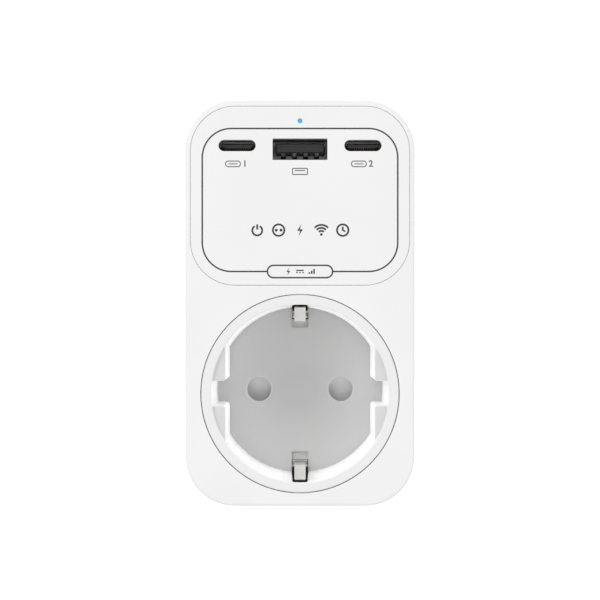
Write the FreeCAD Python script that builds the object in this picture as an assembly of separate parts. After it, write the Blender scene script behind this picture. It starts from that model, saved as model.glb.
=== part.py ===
import FreeCAD, Part
import math
import os

# Smart plug: an adapter with a type F socket, three charge ports, a switched outlet and a plug.
# Frame: X to the right of someone facing it, +Y towards the wall, +Z up. Millimetres.
# Origin: centre of the plug boss's end face, between the two pins.

# ---- Body ---------------------------------------------------------------------------------------
BODY_W = 51.0            # across X
BODY_H = 90.2            # along Z
SOCKET_DROP = 20.04      # socket axis below the middle of the body's height
CORNER_R = 11.0          # corners seen from the front
FRONT_EDGE_R = 0.8
REAR_EDGE_R = 3.0
SIDE_WALL = 2.0
FRONT_WALL = 1.6         # wall behind the fascia and behind the socket's ring
REAR_WALL = 2.0
REAR_SHELL_D = 8.0       # share of the body's depth that the rear housing takes
SEAM_CHAMFER = 0.3       # on both rims, where the housings meet
LIP_L = 1.5              # tongue of the rear housing inside the front housing's rim
LIP_GAP = 0.1

# ---- Plug ---------------------------------------------------------------------------------------
PIN_R = 2.4
PIN_L = 19.0             # beyond the boss's end face
PIN_SPACING = 19.0       # same for the plug's pins and the socket's holes
PIN_TIP_R = 1.9          # rounding of the pin's tip
PIN_SEAT = 0.15          # how far a pin's shoulder sits below the end face
PIN_NECK_R = 2.0
PIN_HEAD_R = 3.4
PIN_HEAD_T = 1.5
PIN_TAIL_L = 6.0         # behind the head
BOSS_R = 18.5
BOSS_L = 17.0
BOSS_WALL = 2.0
BOSS_END = 2.5           # thickness of the end wall
BOSS_FLAT = 16.0         # half the distance between the side flats
BOSS_RIDGE_W = 5.1       # ridge on each side flat
BOSS_EDGE = 1.0          # chamfer round the end face
EARTH_HOLE_Z = 10.0      # earth hole above the middle of the end face
EARTH_HOLE_R = 2.8
SLEEVE_R = 2.5           # bore of the earth sleeve
SLEEVE_WALL = 0.6
SLEEVE_L = 12.0
SIDE_EARTH_R = 16.7      # outer surface of the plug's two earth strips
SIDE_EARTH_W = 4.6
EARTH_CHANNEL_W = 5.4
RETAINER_T = 2.0
RETAINER_SCREW_Z = 3.4
RETAINER_POST_R = 1.8
LABEL_W = 30.0           # shallow recess for the rating label, on the shoulder face
LABEL_H = 15.0
LABEL_SINK = 0.2
LABEL_SHIFT = 3.0        # above the middle of the space over the boss

# ---- Socket -------------------------------------------------------------------------------------
RING_R = 21.96
RING_T = 1.6
RING_GAP = 0.2
CUP_MOUTH_R = 19.8
CUP_FLOOR_R = 19.13
CUP_OUTER_R = 21.2
CUP_DEPTH = 17.5
ROOM_BEHIND_CUP = 18.5   # from the cup's floor to the shoulder that meets the wall
FLOOR_T = 1.8
MOUTH_CHAMFER = 0.25
PIN_HOLE_R = 2.8
HOLE_CHAMFER = 0.3
RIB_FLAT = 16.28         # half the distance between the guide ribs, at the floor
RIB_DRAFT = 0.36         # how much each flat leans back from the floor to its top
RIB_SINK = 1.2           # rib tops below the face
RIB_NOTCH_W = 5.5        # notch between the two ribs on each side
RIB_CORNER_R = 0.7
EARTH_SLOT_W = 3.9       # at the floor
EARTH_MOUTH_W = 3.3      # at the front end of the slot in the wall
EARTH_SLOT_CORNER = 0.4
EARTH_SLOT_R = 14.4      # where the slot begins in the floor, as a shallow pocket
EARTH_POCKET = 1.0       # depth of that pocket
EARTH_PASS_R = 16.3      # from here outwards the slot goes through the floor
EARTH_LIP = 0.8          # ring left whole in front of the slot

# ---- Shutter and contacts -----------------------------------------------------------------------
SLIDE_GAP = 0.2
SHUTTER_T = 4.0
SHUTTER_RAMP = 2.9       # how deep the ramps run
SHUTTER_TRAVEL = 6.2
PAD_MARGIN = 0.5         # pad beyond the hole on every side
BRIDGE_H = 3.0
BRIDGE_D = 2.6
SPRING_IN = 2.0          # spring's axis in from the shutter's back
FRAME_WALL = 1.5
FRAME_TOP = 12.6         # where the spring pushes
SPRING_R = 1.3           # to the middle of the wire
SPRING_WIRE_R = 0.2
SPRING_TURNS = 9
COVER_T = 1.2
COVER_SCREW_OUT = 2.8    # cover screws beyond the frame's inner side
STRAP_T = 0.8
STRAP_W = 5.0
CLIP_W = 2.5
CLIP_T = 0.7
CLIP_ROOT_R = 17.4       # hinge line of an earth clip, out from the socket's axis
CLIP_ROOT_BEHIND = 2.1   # hinge line behind the back of the floor
CLIP_BUMP_R = 15.85      # inner surface of the bump that touches a plug
CLIP_BUMP_DEPTH = 4.0
CLIP_TIP_R = 18.6        # inner surface of the tip
CLIP_TIP_DEPTH = 0.95
EARTH_LINK_DROP = 10.6   # middle of the earth link below the socket's axis
EARTH_LINK_FLANGE = 3.4
RIVET_OUT = 1.9          # rivets beyond the middle of the link's plate
RIVET_HEAD_R = 1.3
ROLL_R = 1.2             # rolled end of the strap that holds the clip's heel
ROLL_W = 3.4
ROLL_MOUTH = 0.45        # room above and below the clip in the roll's mouth
FIT = 0.05               # running gap round a turning or sliding fit
CONTACT_W = 6.6
CONTACT_H = 7.2
CONTACT_L = 9.0
CONTACT_GRIP_R = 2.45
CONTACT_TAB_X = 6.4      # middle of the solder tab, out from the plane between the contacts
CONTACT_TAB_W = 1.8
CONTACT_TAB_TOP = 8.0
CHAMBER_GAP = 0.1
BLOCK_WALL = 1.0
BLOCK_FLANGE_T = 2.0

# ---- Fascia and ports ---------------------------------------------------------------------------
FASCIA_T = 1.6
FASCIA_SIDE_MARGIN = 1.13
FASCIA_TOP_MARGIN = 1.24
FASCIA_ABOVE_RING = 2.15
FASCIA_R = 10.0
FASCIA_GAP = 0.07
HOOK_W = 3.0
HOOK_T = 1.0
HOOK_X = 14.0
HOOK_INSET = 2.6
HOOK_BARB = 0.5
PORT_BOARD_DROP = 6.8    # top of the port board below the body's top
PORT_BOARD_T = 1.2
WIDE_PORT_W = 12.2
WIDE_PORT_H = 4.8
WIDE_PORT_CORNER = 0.25
WIDE_PORT_DEPTH = 14.0
OVAL_PORT_X = 14.0
OVAL_PORT_W = 8.3
OVAL_PORT_H = 2.55
OVAL_PORT_DEPTH = 8.0
OVAL_PORT_DROP = 0.7     # oval ports' shells below the port board
SHELL_T = 0.3
SHELL_EASE = 0.1         # shell's inside beyond the opening in the fascia
SHELL_GAP = 0.15         # round a shell in the front wall
TONGUE_W = 10.8
TONGUE_T = 2.1
TONGUE_DROP = 0.9        # below the top of the wide port's opening
OVAL_TONGUE_W = 6.7
OVAL_TONGUE_T = 0.7
STRIP_PITCH = 2.5
STRIP_W = 0.9
STRIP_T = 0.25
STRIP_RAISE = 0.6        # how far a strip's raised part stands off the tongue

# ---- Light and button ---------------------------------------------------------------------------
LIGHT_DROP = 4.5         # light dot below the body's top
LIGHT_R = 0.5
LIGHT_FLANGE_R = 1.4
LED_R = 1.5
LED_L = 5.0
LED_LEG_X = 0.8          # legs to each side of the middle
LED_LEG_W = 0.5
BUTTON_W = 11.0
BUTTON_D = 4.6
BUTTON_BACK = 17.0       # middle of the button behind the front face
BUTTON_GAP = 0.15
BUTTON_FLANGE = 1.0
BUTTON_TRAVEL = 0.3
SWITCH_W = 6.0
SWITCH_H = 2.2
PLUNGER_R = 1.6

# ---- Boards and fasteners -----------------------------------------------------------------------
BOARD_T = 1.6
BOARD_CLEAR = 2.4        # behind the power board
POWER_BOARD_X = 22.5
POWER_BOARD_GAP = 0.9    # above the socket's ring
PORT_BOARD_X = 21.5
SCREW_R = 1.2
SCREW_HEAD_R = 2.4
SCREW_HEAD_T = 1.6
SCREW_HOLE_R = 1.6
SCREW_SINK = 3.0         # head recess in the rear housing
POST_R = 2.6
REAR_POST_R = 3.0
UPPER_SCREW_IN = 2.5     # screw axes in from the inside of the walls
LOWER_SCREW_IN = 3.7
UPPER_SCREW_DROP = 16.0  # below the body's top
SMALL_SCREW_R = 0.9
SMALL_HEAD_R = 1.6
SMALL_HEAD_T = 1.0
SCREW_RIM = 0.3          # plastic left round a small screw's head
LEAD_R = 1.2
LEAD_BEND = 3.0
TAIL_LEAD_L = 4.0        # lead's run forward from the pin's tail
TAIL_LEAD_RISE = 9.5     # and up from it before it turns to the board
FILM_T = 0.3
HEADER_COUNT = 6
HEADER_PITCH = 2.54
HEADER_W = 0.6
HEADER_DROP = 1.2        # header's run below the port board
HEADER_REACH = 2.4       # in front of the power board

# ---- Components: X across, Z and UP from the power board's lower edge, D and L out from its front -
RELAY_X = (-21.5, -11.3)
RELAY_Z = (0.4, 18.8)
RELAY_D = 15.3
SUPPRESSOR_X = (-9.0, 4.0)
SUPPRESSOR_Z = (21.8, 26.4)
SUPPRESSOR_D = 11.0
RECTIFIER_X = (-17.0, -10.4)
RECTIFIER_Z = (20.4, 24.6)
RECTIFIER_D = 2.6
CORE_W = 19.0
CORE_H = 16.0
CORE_D = 18.5
CORE_UP = 10.6           # to the core's middle
CORE_FRONT = 20.0        # core's front face before the board
CORE_YOKE = 2.6
CORE_LIMB = 7.6          # width of the middle limb
CORE_WINDOW = 7.0        # outer side of each winding window
WINDING_GAP = 0.2
WINDING_H = 22.4
WINDING_R = 3.0
CAN_R = 5.0
CAN_L = 21.0
CAN_X = 15.4
CAN_UP = 6.4
CAN_STEP = 11.2
CAN_EDGE = 0.6
CAN_GROOVE_AT = 2.8
CHOKE_R = 4.6
CHOKE_BORE_R = 2.0
CHOKE_L = 6.5
CHOKE_X = 11.0
CHOKE_UP = 28.6
FUSE_R = 4.0
FUSE_L = 8.0
FUSE_X = -13.0
FUSE_UP = 29.4
VARISTOR_R = 4.2
VARISTOR_T = 3.2
VARISTOR_X = -2.4
OUTPUT_CAN_R = 3.15
OUTPUT_CAN_L = 8.0
OUTPUT_CAN_X = 13.0
OUTPUT_CAN_OUT = 13.0
RADIO_X = (7.0, 19.4)
RADIO_Y = (20.0, 4.0)    # ends of the module, in front of the housings' seam
RADIO_T = 0.8
RADIO_AERIAL = 4.0       # end of the module that the shield leaves bare
SHIELD_H = 2.2

# ---- Places worked out from the sizes -----------------------------------------------------------
SHOULDER_Y = -BOSS_L
BODY_D = CUP_DEPTH + ROOM_BEHIND_CUP
FRONT_Y = SHOULDER_Y - BODY_D
SEAM_Y = SHOULDER_Y - REAR_SHELL_D
REAR_INNER_Y = SHOULDER_Y - REAR_WALL
RECESS_Y = FRONT_Y + FASCIA_T
INNER_FRONT_Y = RECESS_Y + FRONT_WALL
BODY_Z = SOCKET_DROP
BODY_TOP = BODY_Z + BODY_H / 2
BODY_BOTTOM = BODY_Z - BODY_H / 2
INNER_TOP = BODY_TOP - SIDE_WALL
PIN_X = PIN_SPACING / 2

FLOOR_Y = FRONT_Y + CUP_DEPTH
FLOOR_BACK_Y = FLOOR_Y + FLOOR_T
SHUTTER_Y = (FLOOR_BACK_Y + SLIDE_GAP, FLOOR_BACK_Y + SLIDE_GAP + SHUTTER_T)
COVER_Y = (SHUTTER_Y[1] + SLIDE_GAP, SHUTTER_Y[1] + SLIDE_GAP + COVER_T)
STRAP_Y = (COVER_Y[1], COVER_Y[1] + STRAP_T)
CONTACT_Y = (STRAP_Y[1], STRAP_Y[1] + CONTACT_L)
BLOCK_Y = (COVER_Y[1], CONTACT_Y[1] - STRAP_T)
PAD_HALF = PIN_HOLE_R + PAD_MARGIN
SHUTTER_X = PIN_X + PAD_HALF
FRAME_X = SHUTTER_X + SLIDE_GAP
FRAME_BOTTOM = -PAD_HALF - SLIDE_GAP
COVER_SCREW_X = FRAME_X + COVER_SCREW_OUT
CLIP_ROOT_Y = FLOOR_BACK_Y + CLIP_ROOT_BEHIND
CONTACT_TAB_Y = CONTACT_Y[1] - CONTACT_L / 3

BOSS_END_Y = -BOSS_END
CHANNEL_FLOOR = SIDE_EARTH_R - STRAP_T
CHANNEL_BACK = CHANNEL_FLOOR - BOSS_WALL
HEAD_Y = (BOSS_END_Y - PIN_HEAD_T, BOSS_END_Y)
RETAINER_Y = (HEAD_Y[0] - RETAINER_T, HEAD_Y[0])
TAIL_Y = HEAD_Y[0] - PIN_TAIL_L
SLEEVE_Y = (BOSS_END_Y - SLEEVE_L, BOSS_END_Y)
CROSSBAR_Y = (SLEEVE_Y[0] - STRAP_T, SLEEVE_Y[0])

FASCIA_TOP = BODY_TOP - FASCIA_TOP_MARGIN
FASCIA_BOTTOM = RING_R + FASCIA_ABOVE_RING
FASCIA_W = BODY_W - 2 * FASCIA_SIDE_MARGIN
FASCIA_H = FASCIA_TOP - FASCIA_BOTTOM
FASCIA_Z = (FASCIA_TOP + FASCIA_BOTTOM) / 2
PORT_BOARD_TOP = BODY_TOP - PORT_BOARD_DROP
PORT_BOARD_Z = (PORT_BOARD_TOP - PORT_BOARD_T, PORT_BOARD_TOP)
WIDE_PORT_Z = PORT_BOARD_Z[0] - SHELL_T - SHELL_EASE - WIDE_PORT_H / 2
OVAL_PORT_Z = PORT_BOARD_Z[0] - OVAL_PORT_DROP - OVAL_PORT_H / 2
PORT_FRONT_Y = FRONT_Y + FASCIA_T + 0.1
LIGHT_Z = BODY_TOP - LIGHT_DROP
BUTTON_Y = FRONT_Y + BUTTON_BACK

BOARD_BACK_Y = REAR_INNER_Y - BOARD_CLEAR
BOARD_Y = (BOARD_BACK_Y - BOARD_T, BOARD_BACK_Y)
BOARD_Z = (RING_R + POWER_BOARD_GAP, PORT_BOARD_Z[0] - 0.4)
LEAD_Y = (BOARD_Y[0] + BOARD_Y[1]) / 2
LOWER_SCREW_X = BODY_W / 2 - SIDE_WALL - LOWER_SCREW_IN
LOWER_SCREW_Z = BODY_BOTTOM + SIDE_WALL + LOWER_SCREW_IN
UPPER_SCREW_X = BODY_W / 2 - SIDE_WALL - UPPER_SCREW_IN
UPPER_SCREW_Z = BODY_TOP - UPPER_SCREW_DROP
HOUSING_SCREWS = [
    (side * x, z)
    for side in (-1, 1)
    for x, z in ((LOWER_SCREW_X, LOWER_SCREW_Z), (UPPER_SCREW_X, UPPER_SCREW_Z))
]
COVER_SCREWS = [(side * COVER_SCREW_X, z) for side in (-1, 1) for z in (FRAME_BOTTOM, FRAME_TOP)]


# ---- Drawing helpers ----------------------------------------------------------------------------
def point(x, y, z):
    return FreeCAD.Vector(x, y, z)


def block(x, y, z):
    """A box from its (low, high) pair along each axis."""
    size = [pair[1] - pair[0] for pair in (x, y, z)]
    return Part.makeBox(size[0], size[1], size[2], point(x[0], y[0], z[0]))


def rod(radius, start, end):
    """A cylinder from one point to another."""
    way = point(*end) - point(*start)
    return Part.makeCylinder(radius, way.Length, point(*start), way)


def rod_y(radius, y, x=0.0, z=0.0):
    return rod(radius, (x, y[0], z), (x, y[1], z))


def cone_y(radii, y, x=0.0, z=0.0):
    """A cone along Y with a radius at each end."""
    return Part.makeCone(radii[0], radii[1], y[1] - y[0], point(x, y[0], z), point(0, 1, 0))


def corner_points(half_w, half_h, radius):
    """Centres of the four rounded corners with the angle at which each one starts."""
    x = half_w - radius
    z = half_h - radius
    return [(x, z, 0), (-x, z, 90), (-x, -z, 180), (x, -z, 270)]


def outline(width, height, radius, y, x=0.0, z=0.0):
    """A rounded rectangle facing Y, with fully round ends where the radius is half its height."""
    edges = []
    last = None
    first = None
    for centre_x, centre_z, start in corner_points(width / 2, height / 2, radius):
        ends = []
        for angle in (start, start + 45, start + 90):
            turn = math.radians(angle)
            ends.append(
                point(x + centre_x + radius * math.cos(turn), y, z + centre_z + radius * math.sin(turn))
            )
        if last is not None and (ends[0] - last).Length > 1e-6:
            edges.append(Part.makeLine(last, ends[0]))
        if first is None:
            first = ends[0]
        edges.append(Part.Arc(*ends).toShape())
        last = ends[2]
    if (first - last).Length > 1e-6:
        edges.append(Part.makeLine(last, first))
    return Part.Face(Part.Wire(edges))


def slab(width, height, radius, y, x=0.0, z=0.0):
    """A plate with rounded corners, standing across Y."""
    return outline(width, height, radius, y[0], x, z).extrude(point(0, y[1] - y[0], 0))


def prism_x(points, x):
    """An outline of (y, z) points, pushed along X."""
    face = Part.Face(Part.makePolygon([point(x[0], a, b) for a, b in points + points[:1]]))
    return face.extrude(point(x[1] - x[0], 0, 0))


def prism_z(points, z):
    """An outline of (x, y) points, pushed along Z."""
    face = Part.Face(Part.makePolygon([point(a, b, z[0]) for a, b in points + points[:1]]))
    return face.extrude(point(0, 0, z[1] - z[0]))


def turned(points, x=0.0, z=0.0):
    """An outline of (radius, y) points, turned about a line along Y."""
    face = Part.Face(Part.makePolygon([point(x + r, y, z) for r, y in points + points[:1]]))
    return face.revolve(point(x, 0, z), point(0, 1, 0), 360)


def edges_at(shape, y):
    """Edges that lie wholly in the plane at y."""
    return [e for e in shape.Edges if abs(e.BoundBox.YMin - y) < 1e-4 and abs(e.BoundBox.YMax - y) < 1e-4]


def joined(shapes):
    result = shapes[0].multiFuse(shapes[1:]) if len(shapes) > 1 else shapes[0]
    return result.removeSplitter()


def mirrored(shape):
    """The other hand, across the plane between the two pins."""
    return shape.mirror(point(0, 0, 0), point(1, 0, 0))


def flipped(shape):
    """The lower copy of an upper piece."""
    return shape.mirror(point(0, 0, 0), point(0, 0, 1))


def lead(stops, radius, bend):
    """A round lead along straight runs joined by tangent arcs."""
    places = [point(*stop) for stop in stops]
    edges = []
    start = places[0]
    for before, corner, after in zip(places, places[1:], places[2:]):
        come = (corner - before).normalize()
        leave = (after - corner).normalize()
        half_turn = come.getAngle(leave) / 2
        cut = bend * math.tan(half_turn)
        entry = corner - come * cut
        exit_ = corner + leave * cut
        inward = (leave - come).normalize()
        middle = corner + inward * (bend / math.cos(half_turn) - bend)
        edges.append(Part.makeLine(start, entry))
        edges.append(Part.Arc(entry, middle, exit_).toShape())
        start = exit_
    edges.append(Part.makeLine(start, places[-1]))
    section = Part.Wire([Part.makeCircle(radius, places[0], places[1] - places[0])])
    return Part.Wire(edges).makePipeShell([section], True, False)


# ---- Housings -----------------------------------------------------------------------------------
def body_slab(inset, y):
    return slab(BODY_W - 2 * inset, BODY_H - 2 * inset, CORNER_R - inset, y, z=BODY_Z)


def front_posts():
    """Posts that take the housing screws, with a pilot hole from the back."""
    posts = []
    for x, z in HOUSING_SCREWS:
        posts.append(rod_y(POST_R, (INNER_FRONT_Y - 0.2, SEAM_Y), x, z))
    return posts


def front_housing():
    shell = body_slab(0, (FRONT_Y, SEAM_Y))
    shell = shell.makeFillet(FRONT_EDGE_R, edges_at(shell, FRONT_Y))
    shell = shell.makeChamfer(SEAM_CHAMFER, edges_at(shell, SEAM_Y))
    shell = shell.cut(body_slab(SIDE_WALL, (INNER_FRONT_Y, SEAM_Y + 1)))
    envelope = body_slab(SIDE_WALL / 2, (INNER_FRONT_Y - 0.2, SEAM_Y))
    shell = joined([shell] + [post.common(envelope) for post in front_posts()] + board_rails())
    rebate = body_slab(SIDE_WALL / 2, (SEAM_Y - LIP_L, SEAM_Y + 1))
    shell = shell.cut(rebate.cut(body_slab(SIDE_WALL + LIP_GAP, (SEAM_Y - LIP_L - 1, SEAM_Y + 2))))
    cuts = [
        slab(FASCIA_W + 2 * FASCIA_GAP, FASCIA_H + 2 * FASCIA_GAP, FASCIA_R + FASCIA_GAP,
             (FRONT_Y - 1, RECESS_Y), z=FASCIA_Z),
        rod_y(RING_R + RING_GAP, (FRONT_Y - 1, FRONT_Y + RING_T)),
        rod_y(CUP_OUTER_R + RING_GAP, (FRONT_Y, INNER_FRONT_Y + 1)),
        rod_y(LIGHT_FLANGE_R - 0.4, (FRONT_Y, INNER_FRONT_Y + 1), z=LIGHT_Z),
        button_outline(BUTTON_GAP, (INNER_TOP - 1, BODY_TOP + 1)),
    ]
    cuts += [port_shell_outline(port, SHELL_GAP, (RECESS_Y - 0.5, INNER_FRONT_Y + 1)) for port in PORTS]
    cuts += [hook_slot(x, z) for x, z in hook_places()]
    cuts += [rod_y(SCREW_R + FIT, (SEAM_Y - 12, SEAM_Y + 1), x, z) for x, z in HOUSING_SCREWS]
    for cut in cuts:
        shell = shell.cut(cut)
    return shell


def board_rails():
    """Pairs of ribs on the side walls that the port board slides between."""
    rails = []
    depth = (INNER_FRONT_Y - 0.2, SEAM_Y - LIP_L - 0.5)
    reach = body_slab(SIDE_WALL - 0.5, depth)
    for side in (-1, 1):
        across = sorted((side * (PORT_BOARD_X - 1.0), side * (BODY_W / 2)))
        for low, high in (
            (PORT_BOARD_Z[0] - 0.9, PORT_BOARD_Z[0] - 0.05),
            (PORT_BOARD_Z[1] + 0.05, PORT_BOARD_Z[1] + 0.9),
        ):
            rails.append(block(across, depth, (low, high)).common(reach))
    return rails


def boss_outline(inset, y):
    """The plug boss: round, with flats at both sides."""
    side = BOSS_FLAT - inset
    tall = BOSS_R + 1
    return rod_y(BOSS_R - inset, y).common(block((-side, side), y, (-tall, tall)))


def boss_solid():
    body = boss_outline(0, (SHOULDER_Y - 1, 0))
    ridge = rod_y(BOSS_R, (SHOULDER_Y - 1, 0)).common(
        block((-BOSS_R, BOSS_R), (SHOULDER_Y - 1, 0), (-BOSS_RIDGE_W / 2, BOSS_RIDGE_W / 2))
    )
    body = joined([body, ridge])
    return body.makeChamfer(BOSS_EDGE, edges_at(body, 0))


def boss_cavity():
    depth = (SHOULDER_Y - 1.5, BOSS_END_Y)
    hollow = boss_outline(BOSS_WALL, (depth[0] - REAR_WALL, depth[1]))
    back = EARTH_CHANNEL_W / 2 + BOSS_WALL / 2
    for z in ((CHANNEL_BACK, BOSS_R), (-BOSS_R, -CHANNEL_BACK)):
        hollow = hollow.cut(block((-back, back), (SHOULDER_Y, BOSS_END_Y), z))
    return hollow


def earth_channel():
    """Room for the upper earth strip on the outside of the boss, and its two slots."""
    half = EARTH_CHANNEL_W / 2
    channel = block((-half, half), (SHOULDER_Y + 0.4, -BOSS_EDGE), (CHANNEL_FLOOR, BOSS_R + 1))
    reach = SIDE_EARTH_W / 2 + FIT
    rear = block((-reach, reach), (CROSSBAR_Y[0] - FIT, CROSSBAR_Y[1] + FIT), (CHANNEL_BACK - 1, BOSS_R))
    front = block((-reach, reach), (-BOSS_EDGE - 1.2, -BOSS_EDGE), (CHANNEL_FLOOR - 1.2, BOSS_R + 1))
    return joined([channel, rear, front])


def rear_housing():
    shell = body_slab(0, (SEAM_Y, SHOULDER_Y))
    shell = shell.makeFillet(REAR_EDGE_R, edges_at(shell, SHOULDER_Y))
    shell = shell.makeChamfer(SEAM_CHAMFER, edges_at(shell, SEAM_Y))
    shell = shell.cut(body_slab(SIDE_WALL, (SEAM_Y - 1, REAR_INNER_Y)))
    tongue = body_slab(SIDE_WALL / 2 + LIP_GAP, (SEAM_Y - LIP_L + LIP_GAP, SEAM_Y + 1))
    tongue = tongue.cut(body_slab(SIDE_WALL, (SEAM_Y - LIP_L, SEAM_Y + 2)))
    pieces = [shell, tongue, boss_solid()]
    for x, z in HOUSING_SCREWS:
        post = rod_y(REAR_POST_R, (SEAM_Y, REAR_INNER_Y + 1), x, z)
        pieces.append(post.common(body_slab(SIDE_WALL / 2, (SEAM_Y, SHOULDER_Y))))
    shell = joined(pieces)
    channel = earth_channel()
    cuts = [boss_cavity(), channel, flipped(channel)]
    cuts.append(rod_y(EARTH_HOLE_R, (BOSS_END_Y - 1, 1), z=EARTH_HOLE_Z))
    for x in (-PIN_X, PIN_X):
        cuts.append(rod_y(PIN_NECK_R + FIT, (BOSS_END_Y - 1, 1), x))
        cuts.append(rod_y(PIN_R + FIT, (-PIN_SEAT, 1), x))
    for x, z in HOUSING_SCREWS:
        cuts.append(rod_y(SCREW_HOLE_R, (SEAM_Y - LIP_L - 1, SHOULDER_Y + 1), x, z))
        cuts.append(rod_y(SCREW_HEAD_R + 0.2, (SHOULDER_Y - SCREW_SINK, SHOULDER_Y + 1), x, z))
    label_y = (SHOULDER_Y - LABEL_SINK, SHOULDER_Y + 1)
    cuts.append(slab(LABEL_W, LABEL_H, 1.0, label_y, z=(BOSS_R + BODY_TOP) / 2 + LABEL_SHIFT))
    for cut in cuts:
        shell = shell.cut(cut)
    heights = (-RETAINER_SCREW_Z, RETAINER_SCREW_Z)
    shell = joined([shell] + [rod_y(RETAINER_POST_R, (HEAD_Y[0], HEAD_Y[1] + 1), z=z) for z in heights])
    for z in heights:
        shell = shell.cut(rod_y(SMALL_SCREW_R + FIT, (HEAD_Y[0] - 1, BOSS_END_Y + 1.5), z=z))
    return shell


def housing_screws():
    screws = []
    seat = SHOULDER_Y - SCREW_SINK
    for x, z in HOUSING_SCREWS:
        head = rod_y(SCREW_HEAD_R, (seat, seat + SCREW_HEAD_T), x, z)
        head = head.makeFillet(0.6, edges_at(head, seat + SCREW_HEAD_T))
        cross = block((x - 1.3, x + 1.3), (seat + 0.6, seat + 2), (z - 0.3, z + 0.3))
        cross = cross.fuse(block((x - 0.3, x + 0.3), (seat + 0.6, seat + 2), (z - 1.3, z + 1.3)))
        shank = rod_y(SCREW_R, (SEAM_Y - 10, seat), x, z)
        screws.append(head.fuse(shank).cut(cross))
    return Part.makeCompound(screws)


# ---- Fascia -------------------------------------------------------------------------------------
def hook_places():
    heights = (FASCIA_TOP - HOOK_INSET, FASCIA_BOTTOM + HOOK_INSET)
    return [(side * HOOK_X, z) for side in (-1, 1) for z in heights]


def outward(z):
    """Which way a fascia hook points: up at the top edge and down at the bottom edge."""
    return 1 if z > FASCIA_Z else -1


def hook_slot(x, z):
    tall = sorted((z - outward(z) * (HOOK_T / 2 + 0.5), z + outward(z) * (HOOK_T / 2 + 0.1)))
    wide = HOOK_W / 2 + 0.2
    return block((x - wide, x + wide), (RECESS_Y - 0.5, INNER_FRONT_Y + 1), tall)


def fascia_hook(x, z):
    """A snap hook with its barb behind the front wall."""
    way = outward(z)
    inner = z - way * HOOK_T / 2
    outer = z + way * HOOK_T / 2
    tip = outer + way * HOOK_BARB
    wall = INNER_FRONT_Y + 0.05
    profile = [
        (RECESS_Y - 0.5, inner), (RECESS_Y - 0.5, outer), (wall, outer), (wall, tip),
        (wall + 0.3, tip), (wall + 1.3, outer), (wall + 1.3, inner),
    ]
    return prism_x(profile, (x - HOOK_W / 2, x + HOOK_W / 2))


def fascia_panel():
    panel = slab(FASCIA_W, FASCIA_H, FASCIA_R, (FRONT_Y, RECESS_Y), z=FASCIA_Z)
    panel = panel.makeChamfer(0.12, edges_at(panel, FRONT_Y))
    for port in PORTS:
        panel = panel.cut(port_opening(port, 0, (FRONT_Y - 1, RECESS_Y + 1)))
    panel = panel.cut(rod_y(LIGHT_R + FIT, (FRONT_Y - 1, RECESS_Y + 1), z=LIGHT_Z))
    return joined([panel] + [fascia_hook(x, z) for x, z in hook_places()])


# ---- Ports --------------------------------------------------------------------------------------
# Each port: name, middle across, middle up, opening width, opening height, corner radius, depth.
OVAL_PORT = (OVAL_PORT_Z, OVAL_PORT_W, OVAL_PORT_H, OVAL_PORT_H / 2, OVAL_PORT_DEPTH)
PORTS = {
    "wide_port": (0.0, WIDE_PORT_Z, WIDE_PORT_W, WIDE_PORT_H, WIDE_PORT_CORNER, WIDE_PORT_DEPTH),
    "oval_port_left": (-OVAL_PORT_X,) + OVAL_PORT,
    "oval_port_right": (OVAL_PORT_X,) + OVAL_PORT,
}


def port_opening(port, grow, y):
    x, z, width, height, radius, _ = PORTS[port]
    return slab(width + 2 * grow, height + 2 * grow, radius + grow, y, x, z)


def port_shell_outline(port, gap, y):
    return port_opening(port, SHELL_EASE + SHELL_T + gap, y)


def port_shell(port):
    """A drawn metal can, closed behind, with two feet up to the port board."""
    x, z, width, height, _, depth = PORTS[port]
    ends = (PORT_FRONT_Y, PORT_FRONT_Y + depth)
    can = port_shell_outline(port, 0, ends)
    can = can.cut(port_opening(port, SHELL_EASE, (ends[0] - 1, ends[1] - 1.0)))
    top = z + height / 2 + SHELL_EASE
    if PORT_BOARD_Z[0] - top < SHELL_T + 0.01:
        return can
    feet = []
    for side in (-1, 1):
        middle = x + side * (width / 2 - 1.6)
        feet.append(block((middle - 0.6, middle + 0.6), (ends[0] + 2, ends[0] + 4), (top, PORT_BOARD_Z[0])))
    return joined([can] + feet)


def wide_port_tongue():
    top = WIDE_PORT_Z + WIDE_PORT_H / 2 - TONGUE_DROP
    back = PORT_FRONT_Y + WIDE_PORT_DEPTH - 1.0
    tongue = block((-TONGUE_W / 2, TONGUE_W / 2), (PORT_FRONT_Y + 1.0, back), (top - TONGUE_T, top))
    return tongue.makeChamfer(0.2, edges_at(tongue, PORT_FRONT_Y + 1.0))


def wide_port_contacts():
    """Four strips under the tongue, each raised a little near its front end."""
    under = WIDE_PORT_Z + WIDE_PORT_H / 2 - TONGUE_DROP - TONGUE_T
    front = PORT_FRONT_Y + 1.6
    back = PORT_FRONT_Y + WIDE_PORT_DEPTH - 1.0
    strips = []
    low = under - STRIP_RAISE
    for place in (-1.5, -0.5, 0.5, 1.5):
        middle = place * STRIP_PITCH
        profile = [
            (front, under), (front + 0.4, under - STRIP_T), (front + 1.2, low), (front + 2.0, low),
            (front + 3.6, under - STRIP_T), (back, under - STRIP_T), (back, under),
        ]
        strips.append(prism_x(profile, (middle - STRIP_W / 2, middle + STRIP_W / 2)))
    return Part.makeCompound(strips)


def oval_port_tongue(port):
    x, z, _, _, _, depth = PORTS[port]
    front = PORT_FRONT_Y + 0.8
    back = PORT_FRONT_Y + depth - 1.0
    size = (OVAL_TONGUE_W, OVAL_TONGUE_T, OVAL_TONGUE_T / 2 - 0.02)
    tongue = slab(size[0], size[1], size[2], (front, back), x, z)
    collar = slab(size[0] + 0.8, size[1] + 0.5, 0.5, (back - 1.6, back), x, z)
    return joined([tongue, collar])


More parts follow.
